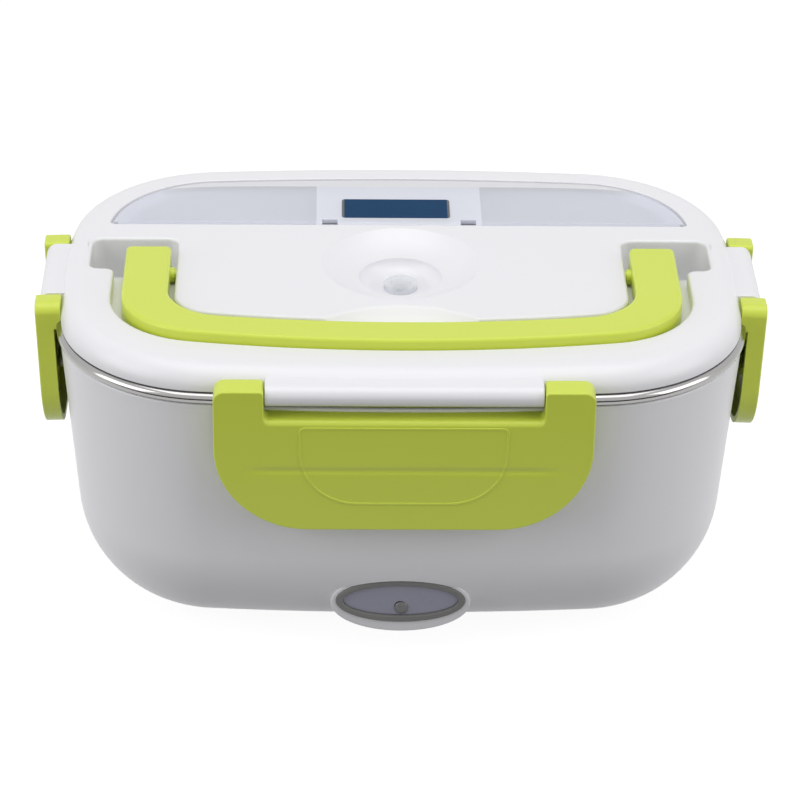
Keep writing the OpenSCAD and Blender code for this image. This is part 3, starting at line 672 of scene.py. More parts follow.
@dataclass
class PlanOutline:
    """Plan of the box: eight arcs that meet without a kink.

    Attributes:
        width: Size across, side to side.
        depth: Size front to back.
        long_radius: Radius of the front and back sides.
        short_radius: Radius of the left and right sides.
        corner_radius: Radius of the corners.
    """

    width: float = 222.8
    depth: float = 156.0
    long_radius: float = 797.0
    short_radius: float = 257.0
    corner_radius: float = 50.6

    @property
    def half_w(self) -> float:
        """Half of the width."""
        return self.width / 2

    @property
    def half_d(self) -> float:
        """Half of the depth."""
        return self.depth / 2

    @property
    def long_centre(self) -> Vector:
        """Centre of the back side's arc."""
        return Vector((0.0, self.half_d - self.long_radius, 0.0))

    @property
    def short_centre(self) -> Vector:
        """Centre of the right side's arc."""
        return Vector((self.half_w - self.short_radius, 0.0, 0.0))

    @property
    def corner_centre(self) -> Vector:
        """Centre of the right back corner's arc."""
        a, b = self.long_centre, self.short_centre
        ra, rb = self.long_radius - self.corner_radius, self.short_radius - self.corner_radius
        gap = (a - b).length
        along = (ra * ra - rb * rb + gap * gap) / (2 * gap)
        up = math.sqrt(ra * ra - along * along)
        way = (b - a) / gap
        return a + way * along + Vector((way.y, -way.x, 0.0)) * up

    @property
    def short_turn(self) -> float:
        """Angle of half of the right side's arc, in degrees."""
        c = self.corner_centre - self.short_centre
        return math.degrees(math.atan2(c.y, c.x))

    @property
    def long_turn(self) -> float:
        """Angle of half of the back side's arc, in degrees."""
        c = self.corner_centre - self.long_centre
        return 90.0 - math.degrees(math.atan2(c.y, c.x))

    def sweep(self, mesh: bmesh.types.BMesh, fine: float = 1.0) -> None:
        """Carry the section drawn at the right side round the whole outline.

        The section lies in the XZ plane, with X measured outwards from the rim.

        Args:
            mesh: Mesh that holds nothing but the section.
            fine: Factor on the number of steps.
        """
        bmesh.ops.translate(mesh, verts=mesh.verts[:], vec=(self.half_w, 0.0, 0.0))
        last = mesh.verts[:] + mesh.edges[:]
        runs = ((self.short_centre, self.short_turn, 5),
                (self.corner_centre, 90.0 - self.long_turn - self.short_turn, 22),
                (self.long_centre, self.long_turn, 9))
        for centre, degrees, steps in runs:
            made = bmesh.ops.spin(mesh, geom=last, cent=centre, axis=XY, dvec=(0, 0, 0),
                                  angle=math.radians(degrees), steps=round(steps * fine),
                                  use_merge=False, use_duplicate=False)
            last = made["geom_last"]
        for axis in ("X", "Y"):
            bmesh.ops.mirror(mesh, geom=mesh.verts[:] + mesh.edges[:] + mesh.faces[:],
                             matrix=Matrix.Identity(4), merge_dist=1e-4, axis=axis)

    def back_edge(self, path: Path, inset: float, front: float) -> Path:
        """Draw the outline's part behind a straight line, from right to left.

        Args:
            path: Path that stands at the line's right end.
            inset: Distance inside the rim.
            front: Y of the line.

        Returns:
            The path, now at the line's left end.
        """
        centre, radius = self.corner_centre, self.corner_radius - inset
        start = math.degrees(math.asin((front - centre.y) / radius)) if front > centre.y else self.short_turn
        path.arc((centre.x, centre.y), 90.0 - self.long_turn - start, 16)
        path.arc((0.0, self.long_centre.y), 2 * self.long_turn, 24)
        return path.arc((-centre.x, centre.y), 90.0 - self.long_turn - start, 16)

    def corner_at(self, inset: float, front: float) -> float:
        """X where the outline meets a straight line across the back corners.

        Args:
            inset: Distance inside the rim.
            front: Y of the line.

        Returns:
            X of the right crossing.
        """
        centre, radius = self.corner_centre, self.corner_radius - inset
        return centre.x + math.sqrt(radius * radius - (front - centre.y) ** 2)


@dataclass
class BowPlan:
    """Plan of the handle and of the groove round it: arms, corners and a bowed front.

    Attributes:
        half: Half of the width.
        reach: Distance from the middle of the lid to the front.
        bow: Radius of the front.
        corner: Radius of the corners.
    """

    half: float
    reach: float
    bow: float
    corner: float

    def grown(self, by: float) -> "BowPlan":
        """The same plan with its line moved outwards."""
        return BowPlan(self.half + by, self.reach + by, self.bow + by, self.corner + by)

    @property
    def bow_y(self) -> float:
        """Y of the centre of the front's arc."""
        return self.bow - self.reach

    @property
    def corner_x(self) -> float:
        """X of the centre of the right corner."""
        return self.half - self.corner

    @property
    def corner_y(self) -> float:
        """Y of the centres of the corners."""
        run = self.bow - self.corner
        return self.bow_y - math.sqrt(run * run - self.corner_x ** 2)

    @property
    def turn(self) -> float:
        """Angle at which the right corner passes into the front, in degrees."""
        return math.degrees(math.atan2(self.corner_y - self.bow_y, self.corner_x))

    def front_y(self, x: float) -> float:
        """Y of the front at a given X."""
        return self.bow_y - math.sqrt(self.bow * self.bow - x * x)

    def forward(self, path: Path) -> Path:
        """Draw from the left arm round the front to the right arm."""
        path.line((-self.half, self.corner_y))
        path.arc((-self.corner_x, self.corner_y), -self.turn, 14)
        path.arc((0.0, self.bow_y), 180.0 + 2 * self.turn, 26)
        return path.arc((self.corner_x, self.corner_y), -self.turn, 14)

    def backward(self, path: Path) -> Path:
        """Draw from the right arm round the front to the left arm."""
        path.line((self.half, self.corner_y))
        path.arc((self.corner_x, self.corner_y), self.turn, 12)
        path.arc((0.0, self.bow_y), -180.0 - 2 * self.turn, 26)
        return path.arc((-self.corner_x, self.corner_y), self.turn, 12)


class Stock:
    """A mesh being shaped, in millimetres."""

    def __init__(self, name: str) -> None:
        """Start an empty mesh.

        Args:
            name: Name of the piece that it becomes.
        """
        self.name = name
        self.mesh = bmesh.new()

    def path(self, start: Sequence[float], plane: Vector = XY) -> Path:
        """Start a wire in this mesh."""
        return Path(self.mesh, start, plane)

    def face(self, edges: Iterable[bmesh.types.BMEdge]) -> bmesh.types.BMFace:
        """Fill a closed wire with one face.

        Args:
            edges: The wire.

        Returns:
            The new face.
        """
        made = bmesh.ops.contextual_create(self.mesh, geom=list(edges))
        return made["faces"][0]

    def raise_face(self, face: bmesh.types.BMFace, vector: Sequence[float],
                   hollow: bool = False) -> bmesh.types.BMFace:
        """Extrude one face. A face that stands alone becomes a closed solid.

        Args:
            face: The face.
            vector: Its move.
            hollow: Whether a face that stands alone is taken away where it was.

        Returns:
            The moved face.
        """
        hollow = hollow or any(len(e.link_faces) > 1 for e in face.edges)
        made = bmesh.ops.extrude_face_region(self.mesh, geom=[face])
        verts = [g for g in made["geom"] if isinstance(g, bmesh.types.BMVert)]
        bmesh.ops.translate(self.mesh, verts=verts, vec=vector)
        if hollow and face.is_valid:
            bmesh.ops.delete(self.mesh, geom=[face], context="FACES_ONLY")
        return next(g for g in made["geom"] if isinstance(g, bmesh.types.BMFace))

    def fill_level(self, z: float, edges: Optional[list] = None) -> None:
        """Fill a flat level between its open loops.

        Args:
            z: Height of the level.
            edges: The loops, or every open edge at that height.
        """
        if edges is None:
            edges = [e for e in self.mesh.edges if len(e.link_faces) < 2
                     and all(abs(v.co.z - z) < 1e-3 for v in e.verts)]
        bmesh.ops.triangle_fill(self.mesh, use_beauty=True, use_dissolve=False, edges=edges)

    def rim_edges(self, z: float) -> list[bmesh.types.BMEdge]:
        """Edges at one height where a flat face meets a wall.

        Args:
            z: The height.

        Returns:
            The edges.
        """
        self.mesh.normal_update()
        return [e for e in self.mesh.edges if len(e.link_faces) == 2
                and all(abs(v.co.z - z) < 1e-3 for v in e.verts)
                and min(abs(f.normal.z) for f in e.link_faces) < 0.9]

    def rod(self, start: Sequence[float], end: Sequence[float], radius: float,
            sides: int = 32, edge: float = 0.0) -> None:
        """Add a closed round rod.

        Args:
            start: Middle of one end.
            end: Middle of the other end.
            radius: Its radius.
            sides: Number of its sides.
            edge: Rounding of its two ends.
        """
        a, b = Vector(start), Vector(end)
        place = Matrix.Translation((a + b) / 2) @ (b - a).to_track_quat("Z", "Y").to_matrix().to_4x4()
        made = bmesh.ops.create_cone(self.mesh, cap_ends=True, segments=sides, radius1=radius,
                                     radius2=radius, depth=(b - a).length, matrix=place)
        if edge:
            verts = set(made["verts"])
            rims = {e for v in verts for e in v.link_edges
                    if max(len(f.verts) for f in e.link_faces) > 4}
            self.round_edges(rims, edge, 3)

    def block(self, low: Sequence[float], high: Sequence[float], edge: float = 0.0) -> None:
        """Add a closed block.

        Args:
            low: Its lowest corner.
            high: Its highest corner.
            edge: Rounding of its edges.
        """
        a, b = Vector(low), Vector(high)
        place = Matrix.Translation((a + b) / 2) @ Matrix.Diagonal((*(b - a), 1.0))
        made = bmesh.ops.create_cube(self.mesh, size=1.0, matrix=place)
        if edge:
            self.round_edges({e for v in made["verts"] for e in v.link_edges}, edge, 3)

    def inset(self, face: bmesh.types.BMFace, width: float, depth: float = 0.0) -> bmesh.types.BMFace:
        """Draw a smaller face inside one face.

        Args:
            face: The face.
            width: Width of the ring round the smaller face.
            depth: How far the smaller face sinks or rises along its normal.

        Returns:
            The smaller face.
        """
        bmesh.ops.inset_region(self.mesh, faces=[face], use_boundary=True, use_even_offset=True,
                               thickness=width, depth=depth)
        return face

    def round_edges(self, edges: Iterable[bmesh.types.BMEdge], radius: float, steps: int = 4) -> None:
        """Round edges.

        Args:
            edges: The edges.
            radius: Size of the rounding.
            steps: Faces across it.
        """
        bmesh.ops.bevel(self.mesh, geom=list(edges), offset=radius, offset_type="OFFSET",
                        segments=steps, profile=0.5, affect="EDGES", material=-1,
                        clamp_overlap=False, loop_slide=False)

    def trim(self, point: Sequence[float], normal: Sequence[float]) -> None:
        """Cut the whole mesh off beyond a plane and close the cut.

        Args:
            point: A point of the plane.
            normal: The plane's normal, towards the side that goes.
        """
        everything = self.mesh.verts[:] + self.mesh.edges[:] + self.mesh.faces[:]
        bmesh.ops.bisect_plane(self.mesh, geom=everything, dist=1e-5, plane_co=point,
                               plane_no=normal, clear_outer=True)
        self.close_ends()

    def select(self, test: Callable[[Vector], bool]) -> list[bmesh.types.BMEdge]:
        """Edges whose two ends both pass a test.

        Args:
            test: Test of a place.

        Returns:
            The edges.
        """
        return [e for e in self.mesh.edges if all(test(v.co) for v in e.verts)]

    def close_ends(self) -> None:
        """Fill every open loop with one face."""
        bmesh.ops.holes_fill(self.mesh, edges=[e for e in self.mesh.edges if e.is_boundary], sides=0)

    def turn(self, degrees: float, axis: str, cent: Sequence[float] = (0, 0, 0),
             verts: Optional[list] = None) -> None:
        """Turn the mesh or a part of it.

        Args:
            degrees: The angle.
            axis: Name of the axis.
            cent: A point on the axis.
            verts: Vertices that turn, or all of them.
        """
        bmesh.ops.rotate(self.mesh, verts=verts or self.mesh.verts[:], cent=cent,
                         matrix=Matrix.Rotation(math.radians(degrees), 3, axis))

    def move(self, vector: Sequence[float], verts: Optional[list] = None) -> None:
        """Shift the mesh or a part of it."""
        bmesh.ops.translate(self.mesh, verts=verts or self.mesh.verts[:], vec=vector)

    def finish(self, material: bpy.types.Material, body: str, slot: str, *nodes: str,
               crease: float = 38.0, weighted: bool = True) -> bpy.types.Object:
        """Make the piece's object.

        Args:
            material: Its finish.
            body: Body that it rides on.
            slot: Name of the record's material slot; not used.
            *nodes: CAD nodes that it stands for.
            crease: Angle from which an edge is shaded sharp, in degrees.
            weighted: Whether large faces decide the shading.

        Returns:
            The object, at the origin.
        """
        bmesh.ops.remove_doubles(self.mesh, verts=self.mesh.verts[:], dist=1e-4)
        bmesh.ops.dissolve_degenerate(self.mesh, edges=self.mesh.edges[:], dist=1e-5)
        bmesh.ops.recalc_face_normals(self.mesh, faces=self.mesh.faces[:])
        bmesh.ops.scale(self.mesh, verts=self.mesh.verts[:], vec=(MM, MM, MM))
        for face in self.mesh.faces:
            face.smooth = True
        open_edges = sum(1 for e in self.mesh.edges if not e.is_manifold)
        data = bpy.data.meshes.new(self.name)
        self.mesh.to_mesh(data)
        self.mesh.free()
        data.set_sharp_from_angle(angle=math.radians(crease))
        data.materials.append(material)
        piece = bpy.data.objects.new(self.name, data)
        bpy.context.scene.collection.objects.link(piece)
        if weighted:
            shade = piece.modifiers.new("shade", "WEIGHTED_NORMAL")
            shade.keep_sharp = True
        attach(piece, body)
        if nodes:
            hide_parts(*nodes)
        LOG.info("%s: %d faces, %d open edges, on %s", self.name, len(data.polygons),
                 open_edges, body)
        return piece


# ---------------------------------------------------------------------------
# Sub-assemblies
# ---------------------------------------------------------------------------


@dataclass
class Housing:
    """White outer housing with its indicator nose and latch ribs.

    Attributes:
        plan: Outline of the steel rim.
        base: Height of the underside.
        top: Height of the upper edge.
        inset: Distance of the upper edge inside the rim.
        wall: Wall thickness.
        draft: Lean of the wall in degrees.
        belly: Radius between wall and base.
        reach: Inset at which the base sheet starts.
        rib_z: Height of the latch ribs.
        rib_radius: Radius of the latch ribs.
        nose_half: Half width and half height of the nose.
        nose_z: Height of the middle of the nose.
        nose_y: Y of its face.
    """

    plan: PlanOutline
    base: float = 1.0
    top: float = 94.3
    inset: float = 1.0
    wall: float = 2.2
    draft: float = 4.6
    belly: float = 40.2
    reach: float = 42.6
    rib_z: float = 76.5
    rib_radius: float = 1.6
    nose_half: tuple[float, float] = (22.3, 10.7)
    nose_z: float = 19.7
    nose_y: float = -69.6
    seat_half: tuple[float, float] = (20.7, 7.9)
    seat_z: float = 20.6
    seat_y: float = -66.4
    well_half: float = 13.5
    well_z: tuple[float, float] = (11.9, 30.5)
    well_y: float = 60.5

    def wall_x(self, z: float) -> float:
        """Outward place of the outer wall at a height, from the rim's outline."""
        return -self.inset - (self.top - z) * math.tan(math.radians(self.draft))

    @property
    def belly_x(self) -> float:
        """Outward place of the belly's centre, from the rim's outline."""
        lean = math.radians(self.draft)
        return self.wall_x(self.belly * (1 - math.sin(lean))) - self.belly * math.cos(lean)

    def belly_at(self, z: float) -> float:
        """Outward place of the belly at a height, from the rim's outline."""
        return self.belly_x + math.sqrt(self.belly ** 2 - (self.belly - z) ** 2)

    def section(self, stock: Stock) -> None:
        """Draw the wall's section, outer skin first.

        Args:
            stock: The piece.
        """
        centre = (self.belly_x, self.belly)
        outer = math.degrees(math.asin((self.belly - self.base) / self.belly))
        path = stock.path((-self.reach, self.base), XZ)
        path.line((self.belly_x + self.belly * math.cos(math.radians(outer)), self.base))
        path.arc(centre, outer - self.draft, 22)
        path.line((-self.inset, self.top)).round(0.8)
        path.line((-self.inset - self.wall, self.top)).round(0.5)
        skin = self.belly - self.wall
        inner = math.degrees(math.asin((skin - self.base) / skin))
        lean = math.radians(self.draft)
        path.line((self.belly_x + skin * math.cos(lean), self.belly - skin * math.sin(lean)))
        path.arc(centre, self.draft - inner, 14)
        path.line((-self.reach, self.belly - skin * math.sin(math.radians(inner))))
        path.done(closed=False, steps=4)

    def niche(self, stock: Stock, half: float, low: float, high: float, floor: float,
              skin: float) -> bmesh.types.BMFace:
        """Sink a rectangular niche into one skin of the back wall.

        Args:
            stock: The piece.
            half: Half width of the niche.
            low: Height of its lower side.
            high: Height of its upper side.
            floor: Y of its floor.
            skin: Depth of the skin that is cut, inside the outer one.

        Returns:
            The niche's floor.
        """
        mesh = stock.mesh

        def chosen() -> list[bmesh.types.BMFace]:
            """Faces of the skin round the niche."""
            faces = []
            for face in mesh.faces:
                c = face.calc_center_median()
                if c.y > 45 and abs(c.x) < 40 and 4.0 < c.z < 50 and len(face.verts) < 9:
                    away = self.plan.half_d + self.belly_at(min(c.z, self.belly)) - c.y
                    if abs(away - skin) < 1.0:
                        faces.append(face)
            return faces

        for place, normal in (((half, 0, 0), (1, 0, 0)), ((-half, 0, 0), (1, 0, 0)),
                              ((0, 0, low), (0, 0, 1)), ((0, 0, high), (0, 0, 1))):
            faces = chosen()
            geom = faces + list({e for f in faces for e in f.edges}) \
                + list({v for f in faces for v in f.verts})
            bmesh.ops.bisect_plane(mesh, geom=geom, dist=1e-5, plane_co=place, plane_no=normal)
        inside = [f for f in chosen() if abs(f.calc_center_median().x) < half
                  and low < f.calc_center_median().z < high]
        bmesh.ops.delete(mesh, geom=inside, context="FACES")
        rim = [e for e in mesh.edges if e.is_boundary and all(v.co.y > 40 and abs(v.co.x) < half + 0.1
                                                              for v in e.verts)]
        made = bmesh.ops.extrude_edge_only(mesh, edges=rim)
        for vert in (g for g in made["geom"] if isinstance(g, bmesh.types.BMVert)):
            vert.co.y = floor
        edges = [g for g in made["geom"] if isinstance(g, bmesh.types.BMEdge)
                 and all(abs(v.co.y - floor) < 1e-4 for v in g.verts)]
        return stock.face(edges)

    def cut_seat(self, stock: Stock) -> None:
        """Cut the oval seat of the indicator into the front wall's outer skin.

        Args:
            stock: The piece.
        """
        mesh = stock.mesh
        wide, high = self.seat_half[0] + 0.1, self.seat_half[1] + 0.1

        def chosen() -> list[bmesh.types.BMFace]:
            """Faces of the outer skin round the seat."""
            faces = []
            for face in mesh.faces:
                c = face.calc_center_median()
                if c.y < -45 and abs(c.x) < wide + 2 and abs(c.z - self.seat_z) < high + 2:
                    if abs(self.plan.half_d + self.belly_at(min(c.z, self.belly)) + c.y) < 1.2:
                        faces.append(face)
            return faces

        for step in range(36):
            turn = math.tau * (step + 0.5) / 36
            x, z = wide * math.cos(turn), high * math.sin(turn)
            faces = chosen()
            geom = faces + list({e for f in faces for e in f.edges}) \
                + list({v for f in faces for v in f.verts})
            bmesh.ops.bisect_plane(mesh, geom=geom, dist=1e-5, plane_co=(x, 0, self.seat_z + z),
                                   plane_no=(x / wide ** 2, 0, z / high ** 2))
        inside = []
        for face in chosen():
            c = face.calc_center_median()
            if (c.x / wide) ** 2 + ((c.z - self.seat_z) / high) ** 2 < 1.0:
                inside.append(face)
        bmesh.ops.delete(mesh, geom=inside, context="FACES")
        rim = [e for e in mesh.edges if e.is_boundary and e.verts[0].co.y < -45
               and abs(e.verts[0].co.x) < wide + 1 and e.verts[0].co.z > 8]
        made = bmesh.ops.extrude_edge_only(mesh, edges=rim)
        for vert in (g for g in made["geom"] if isinstance(g, bmesh.types.BMVert)):
            vert.co.y = -65.0
        stock.face([g for g in made["geom"] if isinstance(g, bmesh.types.BMEdge)
                    and all(abs(v.co.y + 65.0) < 1e-4 for v in g.verts)])

    def shell(self, finish: bpy.types.Material) -> bpy.types.Object:
        """Build the housing's shell with the niche for the power inlet.

        Args:
            finish: Its material.

        Returns:
            The piece.
        """
        stock = Stock("housing_shell")
        self.section(stock)
        self.plan.sweep(stock.mesh, 2.0)
        stock.close_ends()
        bmesh.ops.remove_doubles(stock.mesh, verts=stock.mesh.verts[:], dist=1e-4)
        self.cut_seat(stock)
        low, high = self.well_z
        floor = self.niche(stock, self.well_half, low, high, self.well_y, 0.0)
        core = stock.inset(floor, 2.9)
        stock.raise_face(core, (0, -14.0, 0))
        self.niche(stock, self.well_half + 1.8, low - 1.8, high + 1.8, 45.0, self.wall)
        LOG.info("seat and niche are cut")
        rib = self.wall_x(self.rib_z) - 0.15
        for sign in (-1, 1):
            y, x = sign * (self.plan.half_d + rib), sign * (self.plan.half_w + rib)
            stock.rod((-36.0, y, self.rib_z), (36.0, y, self.rib_z), self.rib_radius, 24, 0.8)
            stock.rod((x, -15.0, self.rib_z), (x, 15.0, self.rib_z), self.rib_radius, 24, 0.8)
        return stock.finish(finish, "base", "white_body", "outer_housing")

    def nose(self, finish: bpy.types.Material) -> bpy.types.Object:
        """Build the oval nose that carries the indicator.

        Args:
            finish: Its material.

        Returns:
            The piece.
        """
        stock = Stock("indicator_nose")
        mesh = stock.mesh
        outer = oval_wire(stock, self.nose_half, self.nose_z, self.nose_y)
        inner = oval_wire(stock, self.seat_half, self.seat_z, self.nose_y)
        bmesh.ops.bridge_loops(mesh, edges=outer + inner)
        for edges, depth in ((outer, -52.0), (inner, self.seat_y)):
            made = bmesh.ops.extrude_edge_only(mesh, edges=edges)
            for vert in (g for g in made["geom"] if isinstance(g, bmesh.types.BMVert)):
                vert.co.y = depth
        stock.close_ends()
        rim = [e for e in outer if e.is_valid]
        stock.round_edges(rim, 0.6, 4)
        return stock.finish(finish, "base", "white_body")


def oval_wire(stock: Stock, half: Sequence[float], z: float, y: float,
              steps: int = 96) -> list[bmesh.types.BMEdge]:
    """Draw an upright oval.

    Args:
        stock: The piece.
        half: Half width and half height.
        z: Height of its middle.
        y: Its Y.
        steps: Number of its sides.

    Returns:
        The wire's edges.
    """
    place = Matrix.Translation((0, y, z)) @ Matrix.Diagonal((half[0], 1.0, half[1], 1.0)) \
        @ Matrix.Rotation(math.pi / 2, 4, "X")
    made = bmesh.ops.create_circle(stock.mesh, cap_ends=False, radius=1.0, segments=steps,
                                   matrix=place)
    verts = set(made["verts"])
    return [e for e in stock.mesh.edges if e.verts[0] in verts and e.verts[1] in verts]


@dataclass
class Indicator:
    """Grey frame and frosted lens of the indicator.

    Attributes:
        half: Half width and half height of the frame.
        rim: Visible width of the frame.
        z: Height of its middle.
        front: Y of the frame's front.
        back: Y of the frame's back.
        lens_y: Y of the lens.
    """

    half: tuple[float, float] = (20.6, 7.8)
    rim: float = 2.3
    z: float = 20.6
    front: float = -70.2
    back: float = -66.5
    lens_y: float = -69.2
    lens_thickness: float = 2.0
    led_z: float = 18.2
    led_radius: float = 1.5

    def frame(self, finish: bpy.types.Material) -> bpy.types.Object:
        """Build the oval frame.

        Args:
            finish: Its material.

        Returns:
            The piece.
        """
        stock = Stock("indicator_frame")
        mesh = stock.mesh
        inside = (self.half[0] - self.rim, self.half[1] - self.rim)
        outer = oval_wire(stock, self.half, self.z, self.front)
        inner = oval_wire(stock, inside, self.z, self.front)
        ring = bmesh.ops.bridge_loops(mesh, edges=outer + inner)["faces"]
        made = bmesh.ops.extrude_face_region(mesh, geom=ring)
        bmesh.ops.translate(mesh, verts=[g for g in made["geom"] if isinstance(g, bmesh.types.BMVert)],
                            vec=(0, self.back - self.front, 0))
        stock.round_edges([e for e in outer if e.is_valid], 0.45, 3)
        stock.round_edges([e for e in inner if e.is_valid], 0.6, 3)
        return stock.finish(finish, "base", "grey_trim", "indicator_bezel")

    def lens(self, finish: bpy.types.Material) -> bpy.types.Object:
        """Build the lens with the hole for the lamp.

        Args:
            finish: Its material.

        Returns:
            The piece.
        """
        stock = Stock("indicator_window")
        mesh = stock.mesh
        outer = oval_wire(stock, (self.half[0] - self.rim - 0.1, self.half[1] - self.rim - 0.1),
                          self.z, self.lens_y)
        hole = oval_wire(stock, (self.led_radius + 0.5, self.led_radius + 0.5), self.led_z,
                         self.lens_y)
        filled = bmesh.ops.triangle_fill(mesh, use_beauty=True, edges=outer + hole)
        faces = [g for g in filled["geom"] if isinstance(g, bmesh.types.BMFace)]
        made = bmesh.ops.extrude_face_region(mesh, geom=faces)
        bmesh.ops.translate(mesh, verts=[g for g in made["geom"] if isinstance(g, bmesh.types.BMVert)],
                            vec=(0, self.lens_thickness, 0))
        return stock.finish(finish, "base", "lens", "indicator_lens")

    def lamp_cap(self, finish: bpy.types.Material) -> bpy.types.Object:
        """Build the small dome over the lamp.

        Args:
            finish: Its material.

        Returns:
            The piece.
        """
        stock = Stock("lamp_cap")
        radius = self.led_radius + 0.75
        place = Matrix.Translation((0.3, self.lens_y + 0.1, self.led_z - 0.5)) \
            @ Matrix.Diagonal((radius, 1.0, radius, 1.0)) @ Matrix.Rotation(math.pi / 2, 4, "X")
        bmesh.ops.create_uvsphere(stock.mesh, u_segments=40, v_segments=20, radius=1.0,
                                  matrix=place)
        stock.trim((0, self.lens_y + 0.3, 0), (0, 1, 0))
        return stock.finish(finish, "base", "lamp")


@dataclass
class InnerTub:
    """White tub inside the housing, with the opening for the heating plate.

    Attributes:
        plan: Outline of the steel rim.
        inset: Inset of its upper edge.
        top: Height of its upper edge.
        base: Height of its underside.
        wall: Wall thickness.
        draft: Lean of the wall in degrees.
        corner: Radius between wall and base.
    """

    plan: PlanOutline
    inset: float = 3.9
    top: float = 97.2
    base: float = 34.0
    wall: float = 1.8
    draft: float = 4.6
    corner: float = 12.0

    def build(self, finish: bpy.types.Material) -> bpy.types.Object:
        """Build the tub.

        Args:
            finish: Its material.

        Returns:
            The piece.
        """
        stock = Stock("tub_liner")
        lean = math.tan(math.radians(self.draft))
        low = -self.inset - (self.top - self.base) * lean
        path = stock.path((-42.6, self.base), XZ)
        path.line((low, self.base)).round(self.corner)
        path.line((-self.inset, self.top)).line((-self.inset - self.wall, self.top)).round(0.5)
        path.line((low - self.wall + self.wall * lean, self.base + self.wall))
        path.round(self.corner - self.wall).line((-42.6, self.base + self.wall))
        path.done(closed=False, steps=8)
        self.plan.sweep(stock.mesh, 0.7)
        bmesh.ops.remove_doubles(stock.mesh, verts=stock.mesh.verts[:], dist=1e-4)
        rims = [e for e in stock.mesh.edges if e.is_boundary]
        holes = []
        for z in (self.base, self.base + self.wall):
            made = bmesh.ops.create_circle(stock.mesh, cap_ends=False, radius=35.3, segments=96,
                                           matrix=Matrix.Translation((0, 0, z)))
            verts = set(made["verts"])
            ring = [e for e in stock.mesh.edges if e.verts[0] in verts and e.verts[1] in verts]
            holes += ring
            stock.fill_level(z, [e for e in rims if abs(e.verts[0].co.z - z) < 1e-3] + ring)
        bmesh.ops.bridge_loops(stock.mesh, edges=holes)
        return stock.finish(finish, "base", "white_body", "inner_tub")


@dataclass
class FoodContainer:
    """Lift-out stainless steel container with a rolled edge.

    Attributes:
        plan: Outline of the steel rim.
        top: Height of its rolled edge.
        inset: Inset of its outer wall at the top.
        sheet: Sheet thickness.
        draft: Lean of the wall in degrees.
        corner: Radius between wall and bottom.
        bottom: Height of its underside.
        bead: Radius of the rolled edge.
    """

    plan: PlanOutline
    top: float = 98.2
    inset: float = 6.3
    sheet: float = 0.8
    draft: float = 6.0
    corner: float = 14.0
    bottom: float = 38.2
    bead: float = 1.8

    def build(self, finish: bpy.types.Material) -> bpy.types.Object:
        """Build the container.

        Args:
            finish: Its material.

        Returns:
            The piece.
        """
        stock = Stock("steel_container")
        lean = math.tan(math.radians(self.draft))
        low = -self.inset - (self.top - self.bottom) * lean
        skin = self.sheet * (1 - lean)
        path = stock.path((-42.6, self.bottom), XZ)
        path.line((low, self.bottom)).round(self.corner)
        path.line((-self.inset, self.top - self.sheet)).round(1.6)
        path.line((-2 * self.bead + 0.1, self.top - self.sheet)).round(0.25)
        path.line((-2 * self.bead, self.top - 2 * self.bead)).round(self.bead * 0.96)
        path.line((0.0, self.top - 2 * self.bead)).round(self.bead)
        path.line((0.0, self.top)).round(self.bead)
        path.line((-self.inset - self.sheet, self.top)).round(2.2)
        path.line((low - skin, self.bottom + self.sheet)).round(self.corner - self.sheet)
        path.line((-42.6, self.bottom + self.sheet))
        path.done(closed=False, steps=9)
        self.plan.sweep(stock.mesh, 1.2)
        stock.close_ends()
        return stock.finish(finish, "container", "steel", "food_container", weighted=False)


